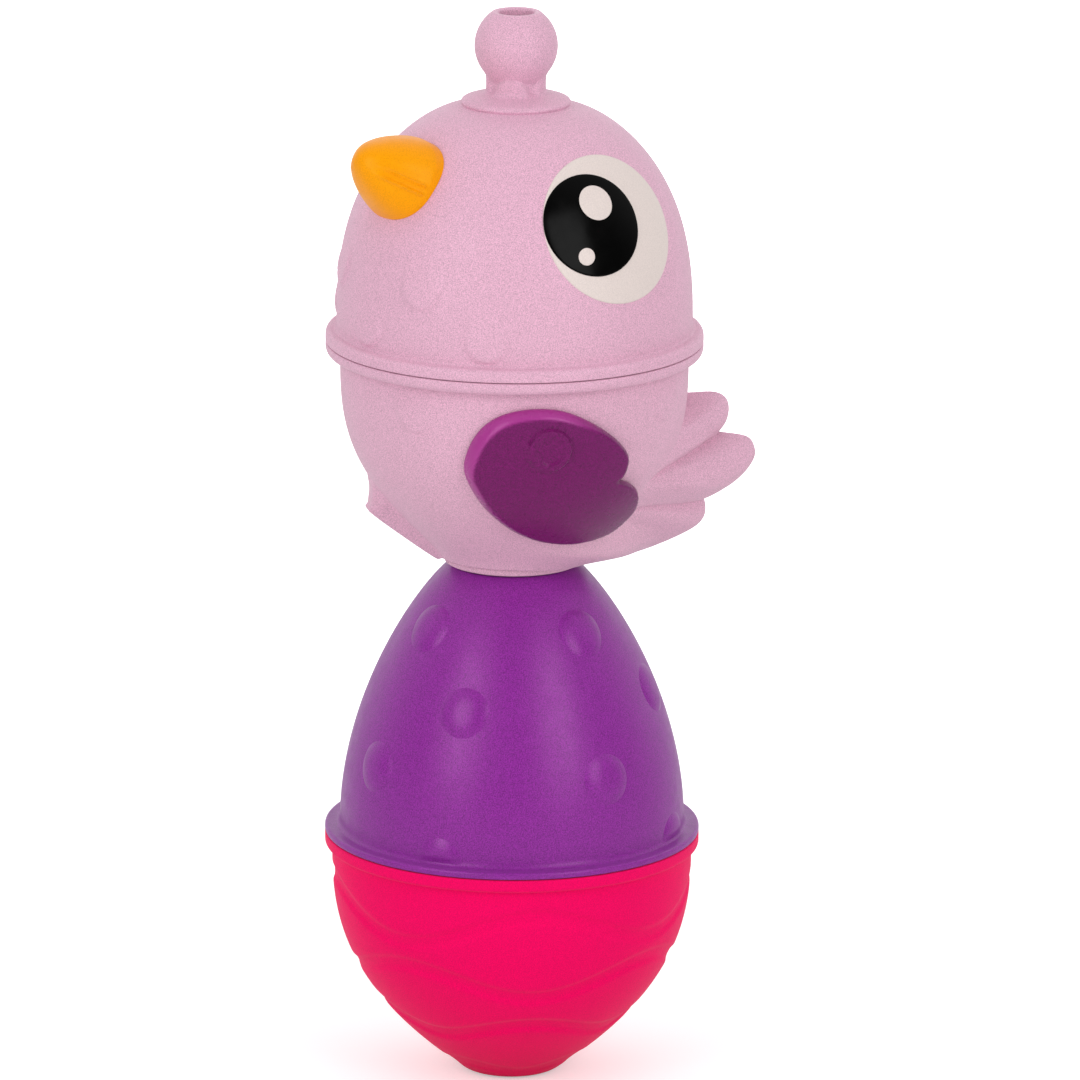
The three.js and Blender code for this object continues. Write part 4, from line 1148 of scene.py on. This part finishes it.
def softbox(name, azimuth, power):
    """A tall lamp that faces the toy's middle"""
    lamp = bpy.data.lights.new(name, "AREA")
    lamp.shape = "RECTANGLE"
    lamp.size, lamp.size_y = SOFTBOX_SIZE
    lamp.energy = power
    rise = math.radians(SOFTBOX_ELEVATION)
    direction = Vector(radial(azimuth)) * math.cos(rise) + Vector((0, 0, math.sin(rise)))
    lit = bpy.data.objects.new(name, lamp)
    lit.location = Vector((0, 0, SOFTBOX_AIM * MM)) + direction * SOFTBOX_DISTANCE
    lit.rotation_euler = direction.to_track_quat("Z", "Y").to_euler()
    bpy.context.scene.collection.objects.link(lit)


def seen_directly(tree):
    """1 for rays from the camera, else 0"""
    return tree.nodes.new("ShaderNodeLightPath").outputs["Is Camera Ray"]


def swing(first, second, degrees):
    """Two directions square to each other, turned in their plane"""
    turn = math.radians(degrees)
    return (first * math.cos(turn) - second * math.sin(turn),
            second * math.cos(turn) + first * math.sin(turn))


def place_camera(scene, stage):
    """The camera, fitted to the photograph"""
    lens = bpy.data.cameras.new("camera")
    lens.sensor_width, lens.lens, lens.clip_end = SENSOR_WIDTH, LENS, FAR_CLIP
    rise, turn = stage.view_elevation, stage.view_azimuth
    back = Vector((math.sin(turn) * math.cos(rise), -math.cos(turn) * math.cos(rise), math.sin(rise)))
    right = Vector((math.cos(turn), math.sin(turn), 0))
    up = back.cross(right)
    spot = Vector((0, 0, AIM_HEIGHT * MM)) + back * stage.view_distance
    back, right = swing(back, right, PAN)
    up, right = swing(up, right, ROLL)
    camera = bpy.data.objects.new("camera", lens)
    camera.matrix_world = Matrix((right, up, back)).transposed().to_4x4()
    camera.location = spot
    scene.collection.objects.link(camera)
    scene.camera = camera


def light_room(scene, stage):
    """A dim room with a bright paper wall behind the toy"""
    world = bpy.data.worlds.new("room")
    world.use_nodes = True
    tree = world.node_tree
    turn = stage.view_azimuth
    wall = (-BACKDROP_AWAY * math.sin(turn), BACKDROP_AWAY * math.cos(turn), BACKDROP_UP)
    direction = tree.nodes.new("ShaderNodeTexCoord").outputs["Generated"]
    behind = add_node(tree, "ShaderNodeVectorMath", {0: direction, 1: wall}, operation="DOT_PRODUCT")
    paper = spread(tree, behind.outputs["Value"], stage.room_light, 1, *BACKDROP_EDGE,
                   interpolation_type="SMOOTHSTEP")
    strength = add_node(tree, "ShaderNodeMath", {0: paper, 1: seen_directly(tree)}, operation="MAXIMUM")
    connect(tree, tree.nodes["Background"], {"Color": WHITE, "Strength": strength.outputs[0]})
    scene.world = world


def lay_floor(scene, stage):
    """White paper that keeps the toy's shadow"""
    mesh = bpy.data.meshes.new("floor")
    corners = [(x * FLOOR_HALF, y * FLOOR_HALF, 0) for x, y in ((-1, -1), (1, -1), (1, 1), (-1, 1))]
    mesh.from_pydata(corners, [], [(0, 1, 2, 3)])
    paper = bpy.data.materials.new("white_paper")
    paper.use_nodes = True
    tree = paper.node_tree
    place = tree.nodes.new("ShaderNodeNewGeometry").outputs["Position"]
    away = add_node(tree, "ShaderNodeVectorMath", {0: place}, operation="LENGTH").outputs["Value"]
    brighter = spread(tree, away, *FLOOR_GLOW, *FLOOR_GLOW_REACH, interpolation_type="SMOOTHSTEP")
    glow = add_node(tree, "ShaderNodeMath", {0: brighter, 1: seen_directly(tree)}, operation="MULTIPLY")
    connect(tree, tree.nodes["Principled BSDF"], {
        "Base Color": (*stage.floor, 1),
        "Roughness": FLOOR_ROUGHNESS,
        "Specular IOR Level": 0,
        "Emission Color": WHITE,
        "Emission Strength": glow.outputs[0],
    })
    mesh.materials.append(paper)
    floor = bpy.data.objects.new("floor", mesh)
    scene.collection.objects.link(floor)


class SNAPBEAD_OT_stage(bpy.types.Operator):
    """Sets up the camera, the lamps and the pale floor"""

    bl_idname = "snap_bead.stage"
    bl_label = "Stage"

    def execute(self, context):
        scene = context.scene
        stage = scene.bead_stage
        scene.view_settings.view_transform = "Standard"
        place_camera(scene, stage)
        for name, azimuth in SOFTBOXES:
            softbox(name, azimuth, stage.lamp_power)
        light_room(scene, stage)
        lay_floor(scene, stage)
        return {"FINISHED"}


OPERATORS = (
    SNAPBEAD_OT_stage,
    SNAPBEAD_OT_egg_cup,
    SNAPBEAD_OT_egg_dome,
    SNAPBEAD_OT_studs,
    SNAPBEAD_OT_socket,
    SNAPBEAD_OT_couplings,
    SNAPBEAD_OT_body,
    SNAPBEAD_OT_wings,
    SNAPBEAD_OT_head,
    SNAPBEAD_OT_beak,
    SNAPBEAD_OT_eyes,
)


class SNAPBEAD_PT_sidebar(bpy.types.Panel):
    """Lists the pieces of the toy"""

    bl_idname = "SNAPBEAD_PT_sidebar"
    bl_label = "Snap Bead Toy"
    bl_space_type = "VIEW_3D"
    bl_region_type = "UI"
    bl_category = "Snap Bead"

    def draw(self, context):
        for operator in OPERATORS:
            self.layout.operator(operator.bl_idname)
        for group in (context.scene.bead_sizes, context.scene.bead_colours, context.scene.bead_stage):
            box = self.layout.box()
            for name in group.__annotations__:
                box.prop(group, name, text=name.replace("_", " ").title())


GROUPS = {"bead_sizes": BeadSizes, "bead_colours": BeadColours, "bead_stage": BeadStage}
CLASSES = (*GROUPS.values(), *OPERATORS, SNAPBEAD_PT_sidebar)


def register():
    for cls in CLASSES:
        bpy.utils.register_class(cls)
    for name, group in GROUPS.items():
        setattr(bpy.types.Scene, name, PointerProperty(type=group))


def unregister():
    for name in GROUPS:
        delattr(bpy.types.Scene, name)
    for cls in reversed(CLASSES):
        bpy.utils.unregister_class(cls)


def main():
    register()
    for operator in OPERATORS:
        getattr(bpy.ops.snap_bead, operator.bl_idname.split(".")[1])()


if __name__ == "__main__":
    main()
